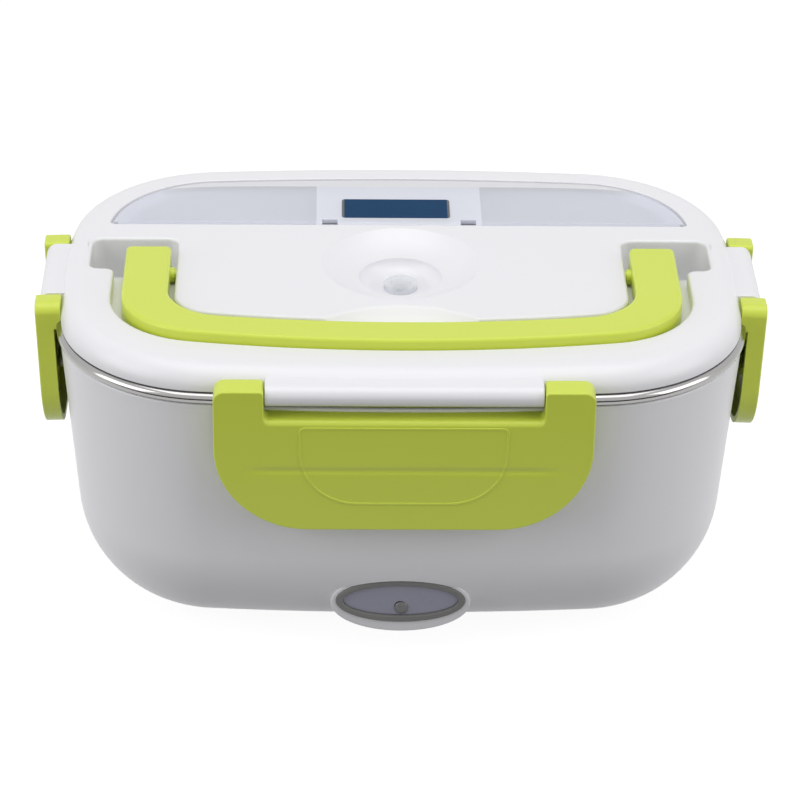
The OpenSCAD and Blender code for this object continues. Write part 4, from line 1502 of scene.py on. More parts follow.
@dataclass
class Lid:
    """White lid with the handle's recess, the vent dish and the cutlery compartment.

    Attributes:
        plan: Outline of the steel rim.
        top: Height of the lid's top.
        level: Height of its underside.
        groove: Outer plan of the recess for the handle.
        island: Plan of the raised middle inside the recess.
        groove_depth: Depth of the recess under the handle.
        pocket_depth: Depth of the pockets behind the handle's arms.
        pocket: Outer X, front Y and back Y of a pocket.
        floor_end: Y of the rear end of the recess's floor.
        scoop_y: Y of the centre of the finger scoop.
        scoop_radius: Radius of the finger scoop.
        scoop_reach: Width of the scoop's slope.
        cutlery: Inset and front Y of the cutlery compartment.
        ledge: Depth and width of the ledge that the cover rests on.
        cutlery_depth: Depth of the compartment.
        dish: Radius where the dish's slope starts and radius of its rim.
        flange: Width of the plain band round each opening.
    """

    plan: PlanOutline
    top: float = 106.0
    level: float = 89.9
    groove: BowPlan = field(default_factory=lambda: BowPlan(92.5, 59.8, 400.0, 30.5))
    island: BowPlan = field(default_factory=lambda: BowPlan(72.5, 39.8, 400.0, 12.0))
    groove_depth: float = 4.9
    pocket_depth: float = 14.44
    pocket: tuple[float, float, float] = (100.5, -4.4, 17.2)
    floor_end: float = -2.6
    scoop_y: float = -68.0
    scoop_radius: float = 38.0
    scoop_reach: float = 11.0
    cutlery: tuple[float, float] = (14.0, 28.0)
    ledge: tuple[float, float] = (1.9, 5.0)
    cutlery_depth: float = 12.0
    dish: tuple[float, float] = (14.5, 25.5)
    flange: float = 1.4

    def section(self, stock: Stock) -> None:
        """Draw the section of the rim and skirt.

        Args:
            stock: The piece.
        """
        path = stock.path((-11.35, self.level), XZ)
        path.line((-11.3, 88.2)).line((-9.3, 88.2)).line((-9.3, 103.0)).line((-3.7, 103.0))
        path.line((-3.7, 98.4)).line((-1.5, 98.4)).round(0.5).line((-1.5, 98.8))
        path.arc((-8.7, 98.8), 90.0, 12)
        path.line((-9.3, self.top))
        path.done(closed=False, steps=3)

    def recess_wire(self, stock: Stock, by: float) -> list[bmesh.types.BMEdge]:
        """Draw the outline of the handle's recess with the finger scoop.

        Args:
            stock: The piece.
            by: How far the outline is moved outwards.

        Returns:
            The wire's edges.
        """
        outer, island = self.groove.grown(by), self.island.grown(-by)
        radius = self.scoop_radius + by
        out, front, back = self.pocket[0] + by, self.pocket[1] - by, self.pocket[2] + by
        a, b = island.bow_y, self.scoop_y
        y = (a * a - b * b - island.bow ** 2 + radius ** 2) / (2 * (a - b))
        x = math.sqrt(radius ** 2 - (y - b) ** 2)
        meet = math.degrees(math.atan2(y - a, x))
        rise = math.degrees(math.atan2(y - b, x))
        path = stock.path((-outer.half, -20.0))
        outer.forward(path)
        path.line((outer.half, front)).round(3.0 - by).line((out, front)).round(3.0 + by)
        path.line((out, back)).round(4.0 + by).line((island.half, back)).round(4.0 + by)
        path.line((island.half, island.corner_y))
        path.arc((island.corner_x, island.corner_y), island.turn, 12)
        path.arc((0.0, a), meet - island.turn, 12)
        path.arc((0.0, b), 180.0 - 2 * rise, 44)
        path.arc((0.0, a), meet - island.turn, 12)
        path.arc((-island.corner_x, island.corner_y), island.turn, 12)
        path.line((-island.half, back)).round(4.0 + by).line((-out, back)).round(4.0 + by)
        path.line((-out, front)).round(3.0 + by).line((-outer.half, front)).round(3.0 - by)
        return path.done(steps=8)

    def sink_recess(self, stock: Stock) -> None:
        """Sink the handle's recess, with the scoop's slope in its front.

        Args:
            stock: The piece.
        """
        edges = self.recess_wire(stock, self.flange)
        stock.move((0, 0, self.top), list({v for e in edges for v in e.verts}))
        floor = stock.inset(stock.face(edges), self.flange)
        steps = (0.0, 0.13, 0.24, 0.36, 0.5, 0.66, 0.82, 1.0)
        centre = Vector((0.0, self.scoop_y))
        for one, two in zip(steps, steps[1:]):
            deep = [self.groove_depth * (1 - (1 - t) ** 2.2) for t in (one, two)]
            floor = stock.raise_face(floor, (0, 0, deep[0] - deep[1]))
            for vert in floor.verts:
                away = Vector(vert.co.xy) - centre
                if abs(away.length - (self.scoop_radius - one * self.scoop_reach)) < 0.6 \
                        and vert.co.y > -52 or abs(vert.co.x) < 26.0 and -50 < vert.co.y < -20:
                    away *= (away.length - (two - one) * self.scoop_reach) / away.length
                    vert.co.x = away.x
                    vert.co.y = max(away.y + centre.y, self.island.front_y(away.x))
        stock.raise_face(floor, (0, 0, self.groove_depth - self.pocket_depth))
        stock.round_edges(stock.rim_edges(self.top), 0.9, 4)

    def groove_floor(self, stock: Stock) -> None:
        """Add the floor under the handle, with the slots that its arms pass.

        Args:
            stock: The piece.
        """
        outer, island = self.groove.grown(0.2), self.island.grown(-0.2)
        front = self.floor_end
        path = stock.path((-outer.half, -20.0))
        outer.forward(path)
        path.line((outer.half, front)).line((89.4, front)).line((89.4, -8.9)).line((75.0, -8.9))
        path.line((75.0, front)).line((island.half, front))
        island.backward(path)
        path.line((-island.half, front)).line((-75.0, front)).line((-75.0, -8.9))
        path.line((-89.4, -8.9)).line((-89.4, front)).line((-outer.half, front))
        edges = path.done()
        level = self.top - self.groove_depth
        stock.move((0, 0, level), list({v for e in edges for v in e.verts}))
        stock.raise_face(stock.face(edges), (0, 0, -1.6))

    def sink_cutlery(self, stock: Stock) -> None:
        """Sink the cutlery compartment and the ledge round it.

        Args:
            stock: The piece.
        """
        inset, front = self.cutlery
        depth, width = self.ledge
        rim, by = 0.8, inset - 0.8
        corner = self.plan.corner_at(by, front - rim)
        path = stock.path((0.0, front - rim)).line((corner, front - rim)).round(2.6)
        self.plan.back_edge(path, by, front - rim).round(2.6)
        edges = path.done(steps=5)
        stock.move((0, 0, self.top), list({v for e in edges for v in e.verts}))
        floor = stock.inset(stock.face(edges), rim)
        floor = stock.raise_face(floor, (0, 0, -depth))
        stock.round_edges(stock.rim_edges(self.top), 0.35, 3)
        floor = max((f for f in stock.mesh.faces if len(f.verts) > 40
                     and abs(f.calc_center_median().z - self.top + depth) < 0.01),
                    key=lambda f: f.calc_area())
        bmesh.ops.delete(stock.mesh, geom=[floor], context="FACES_ONLY")
        wide, slim = self.plan.corner_at(inset, front + 4.2) - 0.5, self.plan.corner_at(inset + width, front + 4.2)
        path = stock.path((0.0, front + 0.3)).line((wide, front + 0.3)).line((wide, front + 4.2))
        path.line((slim, front + 4.2))
        self.plan.back_edge(path, inset + width, front + 4.2)
        path.line((-wide, front + 4.2)).line((-wide, front + 0.3))
        edges = path.done()
        stock.move((0, 0, self.top - depth), list({v for e in edges for v in e.verts}))
        stock.raise_face(stock.face(edges), (0, 0, depth - self.cutlery_depth), hollow=True)
        stock.fill_level(self.top - depth)

    def sink_dish(self, stock: Stock) -> None:
        """Sink the round dish with the cup for the vent plug.

        Args:
            stock: The piece.
        """
        start, rim = self.dish
        cup, step = self.top - 9.0, self.top - 5.0
        path = stock.path((2.7, self.level), XZ).line((2.7, cup)).line((start - 5.0, cup))
        path.arc((start - 5.0, cup + 4.0), 90.0, 8)
        path.line((start - 1.0, step)).line((start, step))
        for n in range(1, 15):
            t = n / 14
            path.line((start + (rim - start) * t, step + (self.top - step) * t ** 1.6))
        path.line((rim + self.flange, self.top))
        edges = path.done(closed=False)
        bmesh.ops.spin(stock.mesh, geom=edges + list({v for e in edges for v in e.verts}),
                       cent=(0, 0, 0), axis=XY, dvec=(0, 0, 0), angle=math.tau, steps=96,
                       use_merge=True, use_duplicate=False)

    def shell(self, finish: bpy.types.Material) -> bpy.types.Object:
        """Build the lid's shell.

        Args:
            finish: Its material.

        Returns:
            The piece.
        """
        stock = Stock("lid_shell_top")
        self.section(stock)
        self.plan.sweep(stock.mesh, 1.2)
        bmesh.ops.remove_doubles(stock.mesh, verts=stock.mesh.verts[:], dist=1e-4)
        self.sink_recess(stock)
        self.sink_cutlery(stock)
        self.sink_dish(stock)
        stock.fill_level(self.top)
        stock.fill_level(self.level)
        self.groove_floor(stock)
        return stock.finish(finish, "lid", "white_lid", "lid_shell", crease=32.0)


@dataclass
class HingeBarrels:
    """Hinge barrels on the four sides of the lid.

    Attributes:
        radius: Radius of a barrel.
        z: Height of its axis.
        away: Distance of the axis from the middle, for a long and a short side.
        half: Half length, for a long and a short side.
        web: Length of the web that ties it to the lid.
        under: Height of the flat underside from the axis.
    """

    radius: float = 3.4
    z: float = 100.3
    away: tuple[float, float] = (79.0, 112.4)
    half: tuple[float, float] = (42.7, 17.7)
    web: float = 5.7
    under: float = -2.9

    def build(self, finish: bpy.types.Material) -> bpy.types.Object:
        """Build the barrels.

        Args:
            finish: Their material.

        Returns:
            The piece.
        """
        stock = Stock("lid_hinge_barrels")
        for side in Side:
            half = self.half[0 if side.is_long else 1]
            before = set(stock.mesh.verts)
            path = stock.path((0.0, self.radius), XZ).line((-self.web, self.radius))
            path.line((-self.web, self.under))
            path.line((math.sqrt(self.radius ** 2 - self.under ** 2), self.under)).round(0.35)
            path.arc((0.0, 0.0), 90.0 + math.degrees(math.asin(-self.under / self.radius)), 20)
            edges = path.done(steps=3)
            stock.raise_face(stock.face(edges), (0, 2 * half, 0))
            fresh = [v for v in stock.mesh.verts if v not in before]
            stock.move((0, -half, 0), fresh)
            stock.mesh.normal_update()
            ends = {e for v in fresh for e in v.link_edges
                    if len(e.link_faces) == 2 and any(len(f.verts) > 20 for f in e.link_faces)}
            stock.round_edges(ends, 0.4, 3)
            fresh = [v for v in stock.mesh.verts if v not in before]
            stock.move((self.away[0 if side.is_long else 1], 0, self.z), fresh)
            stock.turn(side.value + 90.0, "Z", verts=fresh)
            if side is Side.BACK:
                stock.trim(CROWN_POINT, CROWN_NORMAL)
        return stock.finish(finish, "lid", "white_lid")


@dataclass
class Latch:
    """Lime clip that hangs on a hinge barrel and hooks under the housing's rib.

    Attributes:
        side: The side that it is on.
        half: Half of its width.
        ear: Width of an ear beside the barrel.
        corner: Radius of the lower corners.
        away: Distance of the hinge axis from the middle.
        z: Height of the hinge axis.
        drop: Reach below the axis.
        rise: Reach of the ears above the axis.
        cut: Depth of the cut-out for the barrel below the axis.
        face: Distance of the front from the axis.
        back: Distance of the rear from the axis.
        plate: Thickness of the plate.
        lean: Lean of the plate in degrees.
        edge: Rounding of the front's edges.
        notch: Radius of the cut-out's corners.
        reach: Reach of the ears behind the axis.
    """

    side: Side
    half: float
    ear: float
    corner: float
    away: float
    z: float = 100.3
    drop: float = 46.3
    rise: float = 3.4
    cut: float = 7.0
    face: float = 4.28
    back: float = -1.4
    reach: float = -3.9
    plate: float = 2.4
    lean: float = 2.0
    edge: float = 0.55
    notch: float = 1.6

    def lip(self, stock: Stock) -> None:
        """Widen the rounding along the cut-out's lower edge.

        Args:
            stock: The piece.
        """
        turn_x, turn_z = self.half - self.ear - self.notch, self.notch - self.cut
        for vert in stock.mesh.verts:
            x, y, z = vert.co
            if y < self.face - self.edge - 0.01 or z > turn_z + 0.01:
                continue
            centre = Vector((math.copysign(min(abs(x), turn_x), x), turn_z))
            away = Vector((x, z)) - centre
            deep = away.length - self.notch
            if abs(x) > self.half - self.ear + self.edge + 0.1 or not -0.01 < deep < self.edge + 0.05:
                continue
            more = 1.0 + 2.4 * abs(away.y / away.length) ** 2
            away *= (self.notch + max(deep, 0.0) * more) / away.length
            vert.co = (centre.x + away.x, self.face - (self.face - y) * more, centre.y + away.y)

    def ears(self, stock: Stock) -> None:
        """Add the parts of the ears that reach back towards the lid.

        Args:
            stock: The piece.
        """
        arm, half, top, low = self.half - self.ear + 0.05, self.half - 0.05, self.rise - 0.05, -5.6
        for sign in (-1, 1):
            path = stock.path((sign * arm, 0.0), XZ).line((sign * arm, top)).round(1.4)
            path.line((sign * half, top)).round(3.5).line((sign * half, low)).round(1.0)
            path.line((sign * arm, low)).round(0.6)
            face = stock.face(path.done(steps=8))
            stock.move((0, 0.5, 0), list(face.verts))
            face = stock.raise_face(face, (0, self.reach - 0.5, 0))
            stock.round_edges(face.edges[:], 0.5, 3)

    def outline(self, stock: Stock) -> list[bmesh.types.BMEdge]:
        """Draw the front view, with the axis at the origin.

        Args:
            stock: The piece.

        Returns:
            The wire's edges.
        """
        arm = self.half - self.ear
        path = stock.path((0.0, -self.cut), XZ).line((arm, -self.cut)).round(self.notch)
        path.line((arm, self.rise)).round(1.5).line((self.half, self.rise)).round(3.6)
        path.line((self.half, -self.drop)).round(self.corner)
        path.line((-self.half, -self.drop)).round(self.corner)
        path.line((-self.half, self.rise)).round(3.6).line((-arm, self.rise)).round(1.5)
        path.line((-arm, -self.cut)).round(self.notch)
        return path.done(steps=14)

    def panel(self, stock: Stock) -> None:
        """Raise the embossed panel on the front.

        Args:
            stock: The piece.
        """
        half, top, low = self.half * 0.552, -9.0, -self.drop + 9.4
        path = stock.path((0.0, top), XZ).line((half, top)).round(2.0)
        path.line((half, low)).round(self.corner * 0.62)
        path.line((-half, low)).round(self.corner * 0.62).line((-half, top)).round(2.0)
        face = stock.face(path.done(steps=10))
        stock.move((0, self.face - 1.0, 0), list(face.verts))
        face = stock.raise_face(face, (0, 1.22, 0))
        inner = stock.inset(face, 0.8)
        stock.raise_face(inner, (0, -0.17, 0))
        stock.mesh.normal_update()
        crest = [e for e in stock.mesh.edges if len(e.link_faces) == 2
                 and all(abs(v.co.y - self.face - 0.22) < 1e-3 for v in e.verts)
                 and min(abs(f.normal.y) for f in e.link_faces) < 0.5]
        stock.round_edges(crest, 0.16, 3)

    def build(self, finish: bpy.types.Material) -> bpy.types.Object:
        """Build the latch.

        Args:
            finish: Its material.

        Returns:
            The piece.
        """
        stock = Stock("clip_" + self.side.tag)
        face = stock.face(self.outline(stock))
        stock.move((0, self.back, 0), list(face.verts))
        front = stock.raise_face(face, (0, self.face - self.back, 0))
        stock.round_edges(front.edges[:], self.edge, 4)
        self.lip(stock)
        rear = max((f for f in stock.mesh.faces if f.calc_center_median().y < self.back + 0.1),
                   key=lambda f: f.calc_area())
        self.hollow(stock, rear)
        self.ears(stock)
        arm = self.half - self.ear
        stock.block((-arm - 0.5, self.back - 1.5, -self.cut - 1.9),
                    (arm + 0.5, self.back + 0.3, -self.cut - 0.1))
        self.panel(stock)
        stock.turn(-self.lean, "X")
        rib = self.half - self.ear - (7.0 if self.side.is_long else 3.0)
        hook = (-0.98 if self.side.is_long else -0.38, -25.9)
        stock.rod((-rib, hook[0], hook[1]), (rib, hook[0], hook[1]), 1.6, 24, 0.5)
        stock.block((-rib, hook[0], hook[1] - 1.6), (rib, self.face - self.plate + 0.4, hook[1] + 1.6))
        stock.move((0, self.away, self.z))
        if self.side is Side.BACK:
            stock.trim(CROWN_POINT, CROWN_NORMAL)
        stock.turn(self.side.value, "Z")
        name = "latch_" + self.side.tag
        return stock.finish(finish, name, "lime", name, crease=40.0)

    def hollow(self, stock: Stock, rear: bmesh.types.BMFace) -> None:
        """Hollow the plate from behind below the ears.

        Args:
            stock: The piece.
            rear: Its rear face.
        """
        path = stock.path((0.0, -self.cut - 2.0), XZ)
        half, low = self.half - 2.0, -self.drop + 2.0
        path.line((half, -self.cut - 2.0)).line((half, low)).round(self.corner - 2.0)
        path.line((-half, low)).round(self.corner - 2.0).line((-half, -self.cut - 2.0))
        edges = path.done(steps=14)
        stock.move((0, self.back, 0), list({v for e in edges for v in e.verts}))
        rim = list(rear.edges)
        bmesh.ops.delete(stock.mesh, geom=[rear], context="FACES_ONLY")
        floor = stock.face(edges)
        stock.raise_face(floor, (0, self.face - self.plate - self.back, 0), hollow=True)
        bmesh.ops.triangle_fill(stock.mesh, use_beauty=True, use_dissolve=False,
                                edges=rim + [e for e in edges if e.is_valid])


@dataclass
class CarryHandle:
    """Folding carry handle that lies in the lid's recess.

    Attributes:
        outer: Outer plan.
        inner: Inner plan.
        base: Height of its underside.
        top: Height of its top.
        rear: Y of the arms' rear ends.
        pivot: Y and Z of the pivots.
        edge: Rounding of the upper edges.
    """

    outer: BowPlan = field(default_factory=lambda: BowPlan(89.0, 59.4, 400.0, 27.0))
    inner: BowPlan = field(default_factory=lambda: BowPlan(74.4, 46.7, 430.0, 19.0))
    base: float = 101.4
    top: float = 109.2
    rear: float = 5.7
    pivot: tuple[float, float] = (-4.9, 103.7)
    edge: float = 1.2

    def build(self, finish: bpy.types.Material) -> bpy.types.Object:
        """Build the handle with its pivots.

        Args:
            finish: Its material.

        Returns:
            The piece.
        """
        stock = Stock("folding_handle")
        path = stock.path((-self.outer.half, -20.0))
        self.outer.forward(path)
        path.line((self.outer.half, self.rear)).round(2.0)
        path.line((self.inner.half, self.rear)).round(2.0)
        self.inner.backward(path)
        path.line((-self.inner.half, self.rear)).round(2.0)
        path.line((-self.outer.half, self.rear)).round(2.0)
        face = stock.face(path.done())
        stock.move((0, 0, self.base), list(face.verts))
        under = list(face.edges)
        top = stock.raise_face(face, (0, 0, self.top - self.base))
        stock.round_edges(list(top.edges), self.edge, 5)
        stock.round_edges([e for e in under if e.is_valid], 0.6, 2)
        for sign in (-1, 1):
            x = sign * (self.inner.half + 1.0)
            y, z = self.pivot
            stock.rod((x, y, z), (x - sign * 2.4, y, z), 2.5, 32, 0.2)
            stock.rod((x, y, z), (x - sign * 9.0, y, z), 1.8, 24, 0.4)
        return stock.finish(finish, "carry_handle", "lime", "carry_handle")


@dataclass
class CutleryCover:
    """Frosted see-through cover of the cutlery compartment.

    Attributes:
        plan: Outline of the steel rim.
        inset: Distance of its edge inside the rim.
        axis: Y and Z of its hinge bead.
        bead: Radius of the bead.
        under: Height of its underside.
        top: Height of its top.
        half: Half length of the bead.
        lug: X of the two gaps for the hinge lugs.
    """

    plan: PlanOutline
    inset: float = 14.9
    axis: tuple[float, float] = (30.1, 104.2)
    bead: float = 1.6
    under: float = 104.3
    top: float = 105.9
    half: float = 93.4
    lug: float = 23.0

    def build(self, finish: bpy.types.Material) -> bpy.types.Object:
        """Build the cover.

        Args:
            finish: Its material.

        Returns:
            The piece.
        """
        stock = Stock("compartment_cover")
        y, z = self.axis
        corner = self.plan.corner_at(self.inset, y)
        path = stock.path((0.0, y))
        for x in (self.lug - 2.5, self.lug + 2.5):
            path.line((x, y if x < self.lug else y + 2.6))
            path.line((x, y + 2.6 if x < self.lug else y))
        path.line((corner, y))
        self.plan.back_edge(path, self.inset, y)
        for x in (-self.lug - 2.5, -self.lug + 2.5):
            path.line((x, y if x < -self.lug else y + 2.6))
            path.line((x, y + 2.6 if x < -self.lug else y))
        face = stock.face(path.done())
        stock.move((0, 0, self.under), list(face.verts))
        top = stock.raise_face(face, (0, 0, self.top - self.under))
        stock.round_edges(top.edges[:], 0.45, 3)
        for low, high in ((-self.half, -self.lug - 2.5), (-self.lug + 2.5, self.lug - 2.5),
                          (self.lug + 2.5, self.half)):
            stock.rod((low, y, z), (high, y, z), self.bead, 28, 0.3)
        for sign in (-1, 1):
            stock.rod((sign * (self.lug - 2.8), y, z), (sign * (self.lug + 2.8), y, z), 0.75, 16)
        return stock.finish(finish, "cutlery_cover", "clear_cover", "cutlery_cover")

    def label(self, finish: bpy.types.Material) -> bpy.types.Object:
        """Build the plain foil patch on the cover.

        Args:
            finish: Its material.

        Returns:
            The piece.
        """
        stock = Stock("foil_patch")
        path = stock.path((0.0, 33.5)).line((17.0, 33.5)).round(1.2).line((17.0, 47.5)).round(1.2)
        path.line((-19.0, 47.5)).round(1.2).line((-19.0, 33.5)).round(1.2)
        face = stock.face(path.done(steps=4))
        stock.move((0, 0, self.top), list(face.verts))
        stock.raise_face(face, (0, 0, 0.15))
        return stock.finish(finish, "cutlery_cover", "label_blue", "cover_label")


@dataclass
class VentPlug:
    """Clear silicone plug in the middle of the dish.

    Attributes:
        radius: Radius of its head.
        low: Height of the head's underside.
        high: Height of its top.
        stem: Radius of the stem.
        foot: Height of the stem's end.
    """

    radius: float = 5.5
    low: float = 97.05
    high: float = 99.25
    stem: float = 2.4
    foot: float = 87.2

    def build(self, finish: bpy.types.Material) -> bpy.types.Object:
        """Build the plug.

        Args:
            finish: Its material.

        Returns:
            The piece.
        """
        stock = Stock("steam_plug")
        path = stock.path((0.0, self.foot), XZ).line((self.stem, self.foot)).round(0.6)
        path.line((self.stem, self.low)).line((self.radius, self.low)).round(0.3)
        path.line((self.radius, self.high)).round(0.8).line((self.radius - 2.0, self.high))
        path.line((self.radius - 2.6, self.high - 0.7)).line((0.0, self.high - 0.7))
        edges = path.done(closed=False, steps=4)
        bmesh.ops.spin(stock.mesh, geom=edges + list({v for e in edges for v in e.verts}),
                       cent=(0, 0, 0), axis=XY, dvec=(0, 0, 0), angle=math.tau, steps=64,
                       use_merge=True, use_duplicate=False)
        return stock.finish(finish, "vent_plug", "clear_silicone", "vent_plug")


@dataclass
class InnerWorks:
    """Parts that keep their CAD shape and get a finish of their own.

    Attributes:
        finish_of: Name of the finish of each part.
    """

    finish_of: dict[str, str] = field(default_factory=lambda: {
        "feet": "rubber", "base_screws": "screw", "heating_plate": "heater",
        "ptc_heater": "ceramic", "heater_clamp": "screw", "clamp_screws": "screw",
        "thermostat": "dark", "thermal_fuse": "ceramic", "wiring": "lead",
        "indicator_board": "board", "indicator_led": "lamp", "power_inlet": "dark",
        "inlet_pins": "brass", "lid_inner_plate": "white", "lid_seal": "seal",
        "spoon": "spoon"})

    def dress(self, nodes: dict[str, bpy.types.Object],
              finishes: dict[str, bpy.types.Material]) -> None:
        """Give each part its finish.

        Args:
            nodes: CAD parts by name.
            finishes: Materials by name.
        """
        for name, finish in self.finish_of.items():
            part = nodes[name]
            if not part.material_slots:
                part.data.materials.append(None)
            for place in part.material_slots:
                place.link = "OBJECT"
                place.material = finishes[finish]
            LOG.info("%s: dressed as %s", name, finish)


def finishes() -> dict[str, bpy.types.Material]:
    """Make every finish of the box.

    Returns:
        Materials by name.
    """
    white = MouldedPlastic("white_plastic", (0.840, 0.840, 0.868), (0.828, 0.828, 0.858), 0.34)
    lime = MouldedPlastic("lime_plastic", (0.640, 0.745, 0.080), (0.620, 0.725, 0.074), 0.32)
    made = {
        "white": white, "lime": lime,
        "lime_front": CreasedPlastic(lime, "lime_plastic_long", 0.0755, 0.046),
        "lime_side": CreasedPlastic(lime, "lime_plastic_short", 0.0755, 0.020, False),
        "steel": PolishedSteel("stainless_steel", (0.42, 0.415, 0.41), 0.14),
        # The nose is the housing's white plastic with painted shade: a darker copy that evens its lighter upright
        # face with the shaded belly round it.
        "nose": MouldedPlastic("white_nose", (0.745, 0.745, 0.775), (0.730, 0.730, 0.760), 0.34),
        "trim": MouldedPlastic("grey_trim", (0.190, 0.188, 0.186), (0.150, 0.148, 0.145), 0.5,
                               0.00008),
        "lens": MouldedPlastic("lavender_lens", (0.290, 0.290, 0.370), (0.275, 0.275, 0.355), 0.28),
        "lamp": MouldedPlastic("lamp_dome", (0.170, 0.170, 0.175), (0.150, 0.150, 0.155), 0.3),
        "cover": ClearPlastic("frosted_cover", (0.840, 0.860, 0.950), 0.0, 0.24, 0.00001,
                              alpha=0.5, patch=0.0275),
        "silicone": ClearPlastic("clear_silicone", (0.840, 0.860, 0.900), 0.0, 0.22, alpha=0.55),
        "label": FoilPatch("blue_foil", (0.008, 0.042, 0.105), (0.16, 0.16, 0.17), 0.0172, -0.001),
        "seal": MouldedPlastic("silicone_seal", (0.62, 0.63, 0.66), (0.58, 0.59, 0.62), 0.5),
        "spoon": MouldedPlastic("spoon_plastic", (0.740, 0.745, 0.755), (0.70, 0.705, 0.72), 0.3),
        "rubber": MouldedPlastic("foot_rubber", (0.035, 0.035, 0.037), (0.05, 0.05, 0.052), 0.7,
                                 0.00004),
        "dark": MouldedPlastic("inlet_plastic", (0.020, 0.020, 0.022), (0.03, 0.03, 0.032), 0.38,
                               0.00003),
        "ceramic": MouldedPlastic("ceramic_heater", (0.30, 0.27, 0.23), (0.26, 0.24, 0.20), 0.6,
                                  0.00004),
        "lead": MouldedPlastic("lead_sleeve", (0.42, 0.030, 0.022), (0.36, 0.025, 0.020), 0.45),
        "board": MouldedPlastic("circuit_board", (0.02, 0.13, 0.05), (0.015, 0.10, 0.04), 0.4),
        "screw": MetalPart("zinc_screw", (0.62, 0.63, 0.64)),
        "heater": MetalPart("anodised_plate", (0.70, 0.70, 0.71), 0.42),
        "brass": MetalPart("pin_brass", (0.72, 0.56, 0.28), 0.25),
    }
    return {name: finish.material() for name, finish in made.items()}


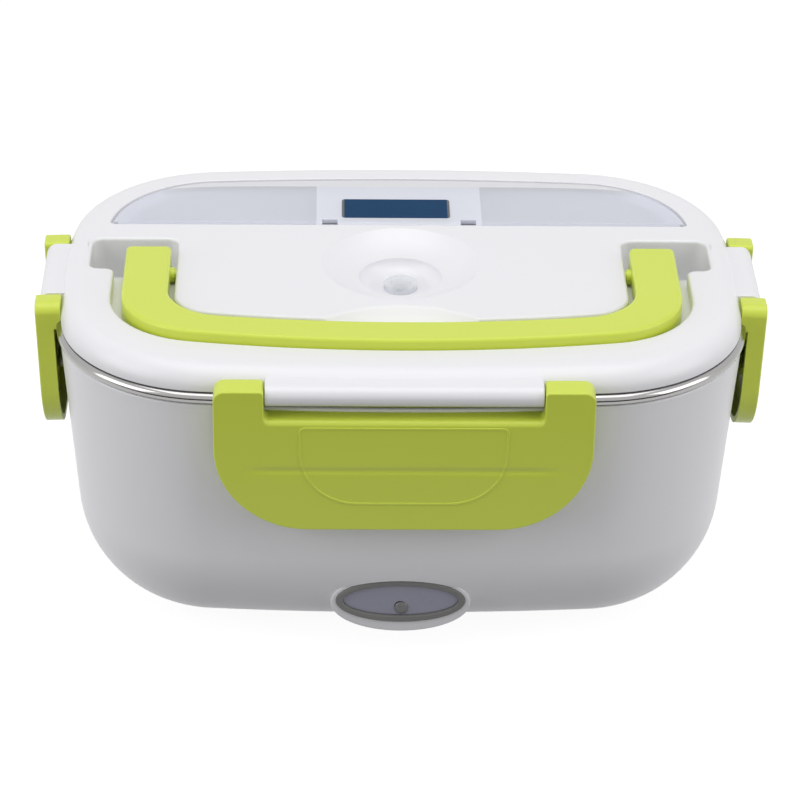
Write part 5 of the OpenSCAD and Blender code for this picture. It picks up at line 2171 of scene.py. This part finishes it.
@dataclass
class Studio:
    """Pale floor, white surround, soft lamps and the camera.

    Attributes:
        ambient: Strength of the surround on the object.
        paper: Strength of the floor's own white.
        lamps: Place, size and power of each lamp, which all point at the box.
        lens: Focal length in millimetres.
        eye: Place of the camera in metres.
        right: Direction of the picture's right.
        up: Direction of the picture's top.
        ahead: Direction of view.
    """

    ambient: float = 0.38
    paper: float = 0.93
    lamps: tuple[tuple[tuple[float, float, float], float, float], ...] = (
        ((0.0, -0.1, 1.3), 1.1, 6.8), ((-1.1, -0.45, 0.6), 0.9, 6.0), ((1.15, -0.45, 0.6), 0.9, 5.8))
    lens: float = 158.10
    eye: tuple[float, float, float] = (-0.0230266, -1.0192833, 0.6164440)
    right: tuple[float, float, float] = (0.99978805, -0.01571379, 0.01330182)
    up: tuple[float, float, float] = (-0.00407264, 0.48237868, 0.87595332)
    ahead: tuple[float, float, float] = (0.02018106, 0.87582183, -0.48221244)

    def camera(self) -> None:
        """Place the camera."""
        data = bpy.data.cameras.new("camera")
        data.lens, data.sensor_width = self.lens, 36.0
        camera = bpy.data.objects.new("camera", data)
        bpy.context.scene.collection.objects.link(camera)
        turn = Matrix((self.right, self.up, [-a for a in self.ahead])).transposed().to_4x4()
        camera.matrix_world = Matrix.Translation(self.eye) @ turn
        bpy.context.scene.camera = camera

    def light(self) -> None:
        """Hang the lamps."""
        for number, (place, size, power) in enumerate(self.lamps):
            data = bpy.data.lights.new(f"softbox_{number}", "AREA")
            data.size, data.energy = size, power
            lamp = bpy.data.objects.new(data.name, data)
            bpy.context.scene.collection.objects.link(lamp)
            aim = (Vector((0, 0, 0.05)) - Vector(place)).to_track_quat("-Z", "Y")
            lamp.matrix_world = Matrix.Translation(place) @ aim.to_matrix().to_4x4()

    @staticmethod
    def seen(paint: Paint) -> Signal:
        """One for rays that show the surround itself, nothing for the light it gives."""
        path = paint.node("ShaderNodeLightPath")
        shown = Signal(paint, path.outputs["Is Camera Ray"])
        shown = shown.at_least(Signal(paint, path.outputs["Is Glossy Ray"]))
        return shown.at_least(Signal(paint, path.outputs["Is Transmission Ray"]))

    def surround(self) -> None:
        """Make the white surround."""
        world = bpy.data.worlds.new("surround")
        bpy.context.scene.world = world
        world.use_nodes = True
        tree = world.node_tree
        tree.nodes.clear()
        paint = Paint.__new__(Paint)
        paint.tree, paint.place = tree, None
        strength = self.ambient + (1.0 - self.ambient) * self.seen(paint)
        back = paint.node("ShaderNodeBackground", None,
                          {"Color": (1.0, 1.0, 1.0), "Strength": strength})
        output = paint.node("ShaderNodeOutputWorld")
        tree.links.new(back.outputs[0], output.inputs["Surface"])

    def floor(self) -> None:
        """Lay the pale floor, which keeps the box's shadow."""
        mesh = bmesh.new()
        bmesh.ops.create_grid(mesh, x_segments=1, y_segments=1, size=6.0)
        data = bpy.data.meshes.new("floor")
        mesh.to_mesh(data)
        mesh.free()
        floor = bpy.data.objects.new("floor", data)
        bpy.context.scene.collection.objects.link(floor)
        paint = Paint("floor_paper")
        glow = paint.node("ShaderNodeEmission", None,
                          {"Color": (1.0, 1.0, 1.0), "Strength": self.paper})
        thin = paint.node("ShaderNodeBsdfDiffuse", None, {"Color": (0.16, 0.16, 0.16)})
        both = paint.node("ShaderNodeAddShader", None, {0: glow.outputs[0], 1: thin.outputs[0]})
        full = paint.node("ShaderNodeBsdfDiffuse", None, {"Color": (0.26, 0.26, 0.265)})
        mixed = paint.node("ShaderNodeMixShader", None,
                           {0: self.seen(paint), 1: full.outputs[0], 2: both.outputs[0]})
        paint.tree.nodes.remove(paint.shader)
        paint.tree.links.new(mixed.outputs[0], paint.output.inputs["Surface"])
        data.materials.append(paint.material)

    def card(self) -> None:
        """Hang the dark card that only shows in polished surfaces."""
        mesh = bmesh.new()
        place = Matrix.Translation((0, -0.75, 0.004)) @ Matrix.Diagonal((1.0, 0.55, 1.0, 1.0))
        bmesh.ops.create_grid(mesh, x_segments=1, y_segments=1, size=1.0, matrix=place)
        data = bpy.data.meshes.new("dark_card")
        mesh.to_mesh(data)
        mesh.free()
        card = bpy.data.objects.new("dark_card", data)
        bpy.context.scene.collection.objects.link(card)
        card.visible_camera = card.visible_diffuse = card.visible_shadow = False
        card.visible_transmission = False
        paint = Paint("card_black")
        paint.set(Base_Color=(0.05, 0.05, 0.05), Roughness=1.0)
        data.materials.append(paint.material)

    def build(self) -> None:
        """Set up the whole studio."""
        self.camera()
        self.light()
        self.surround()
        self.floor()
        self.card()
        bpy.context.scene.view_settings.view_transform = "Standard"


def main() -> None:
    """Build the box on its CAD frame, dress it and light it."""
    logging.basicConfig(level=logging.INFO, format="%(name)s: %(message)s")
    for item in list(bpy.data.objects):
        bpy.data.objects.remove(item)
    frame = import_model()
    finish = finishes()
    plan = PlanOutline()
    Studio().build()

    housing = Housing(plan)
    housing.shell(finish["white"])
    # The nose's finish is a darker copy of the white plastic, painted shade to match the shaded belly round it.
    housing.nose(finish["nose"])
    indicator = Indicator()
    indicator.frame(finish["trim"])
    indicator.lens(finish["lens"])
    indicator.lamp_cap(finish["lamp"])
    InnerTub(plan).build(finish["white"])
    FoodContainer(plan).build(finish["steel"])
    Lid(plan).shell(finish["white"])
    HingeBarrels().build(finish["white"])
    for side in Side:
        if side.is_long:
            Latch(side, 58.5, 15.5, 29.0, 79.0).build(finish["lime_front"])
        else:
            Latch(side, 27.0, 9.0, 20.0, 112.4).build(finish["lime_side"])
    CarryHandle().build(finish["lime"])
    cover = CutleryCover(plan)
    cover.build(finish["cover"])
    cover.label(finish["label"])
    VentPlug().build(finish["silicone"])
    InnerWorks().dress(frame["nodes"], finish)


if __name__ == "__main__":
    main()
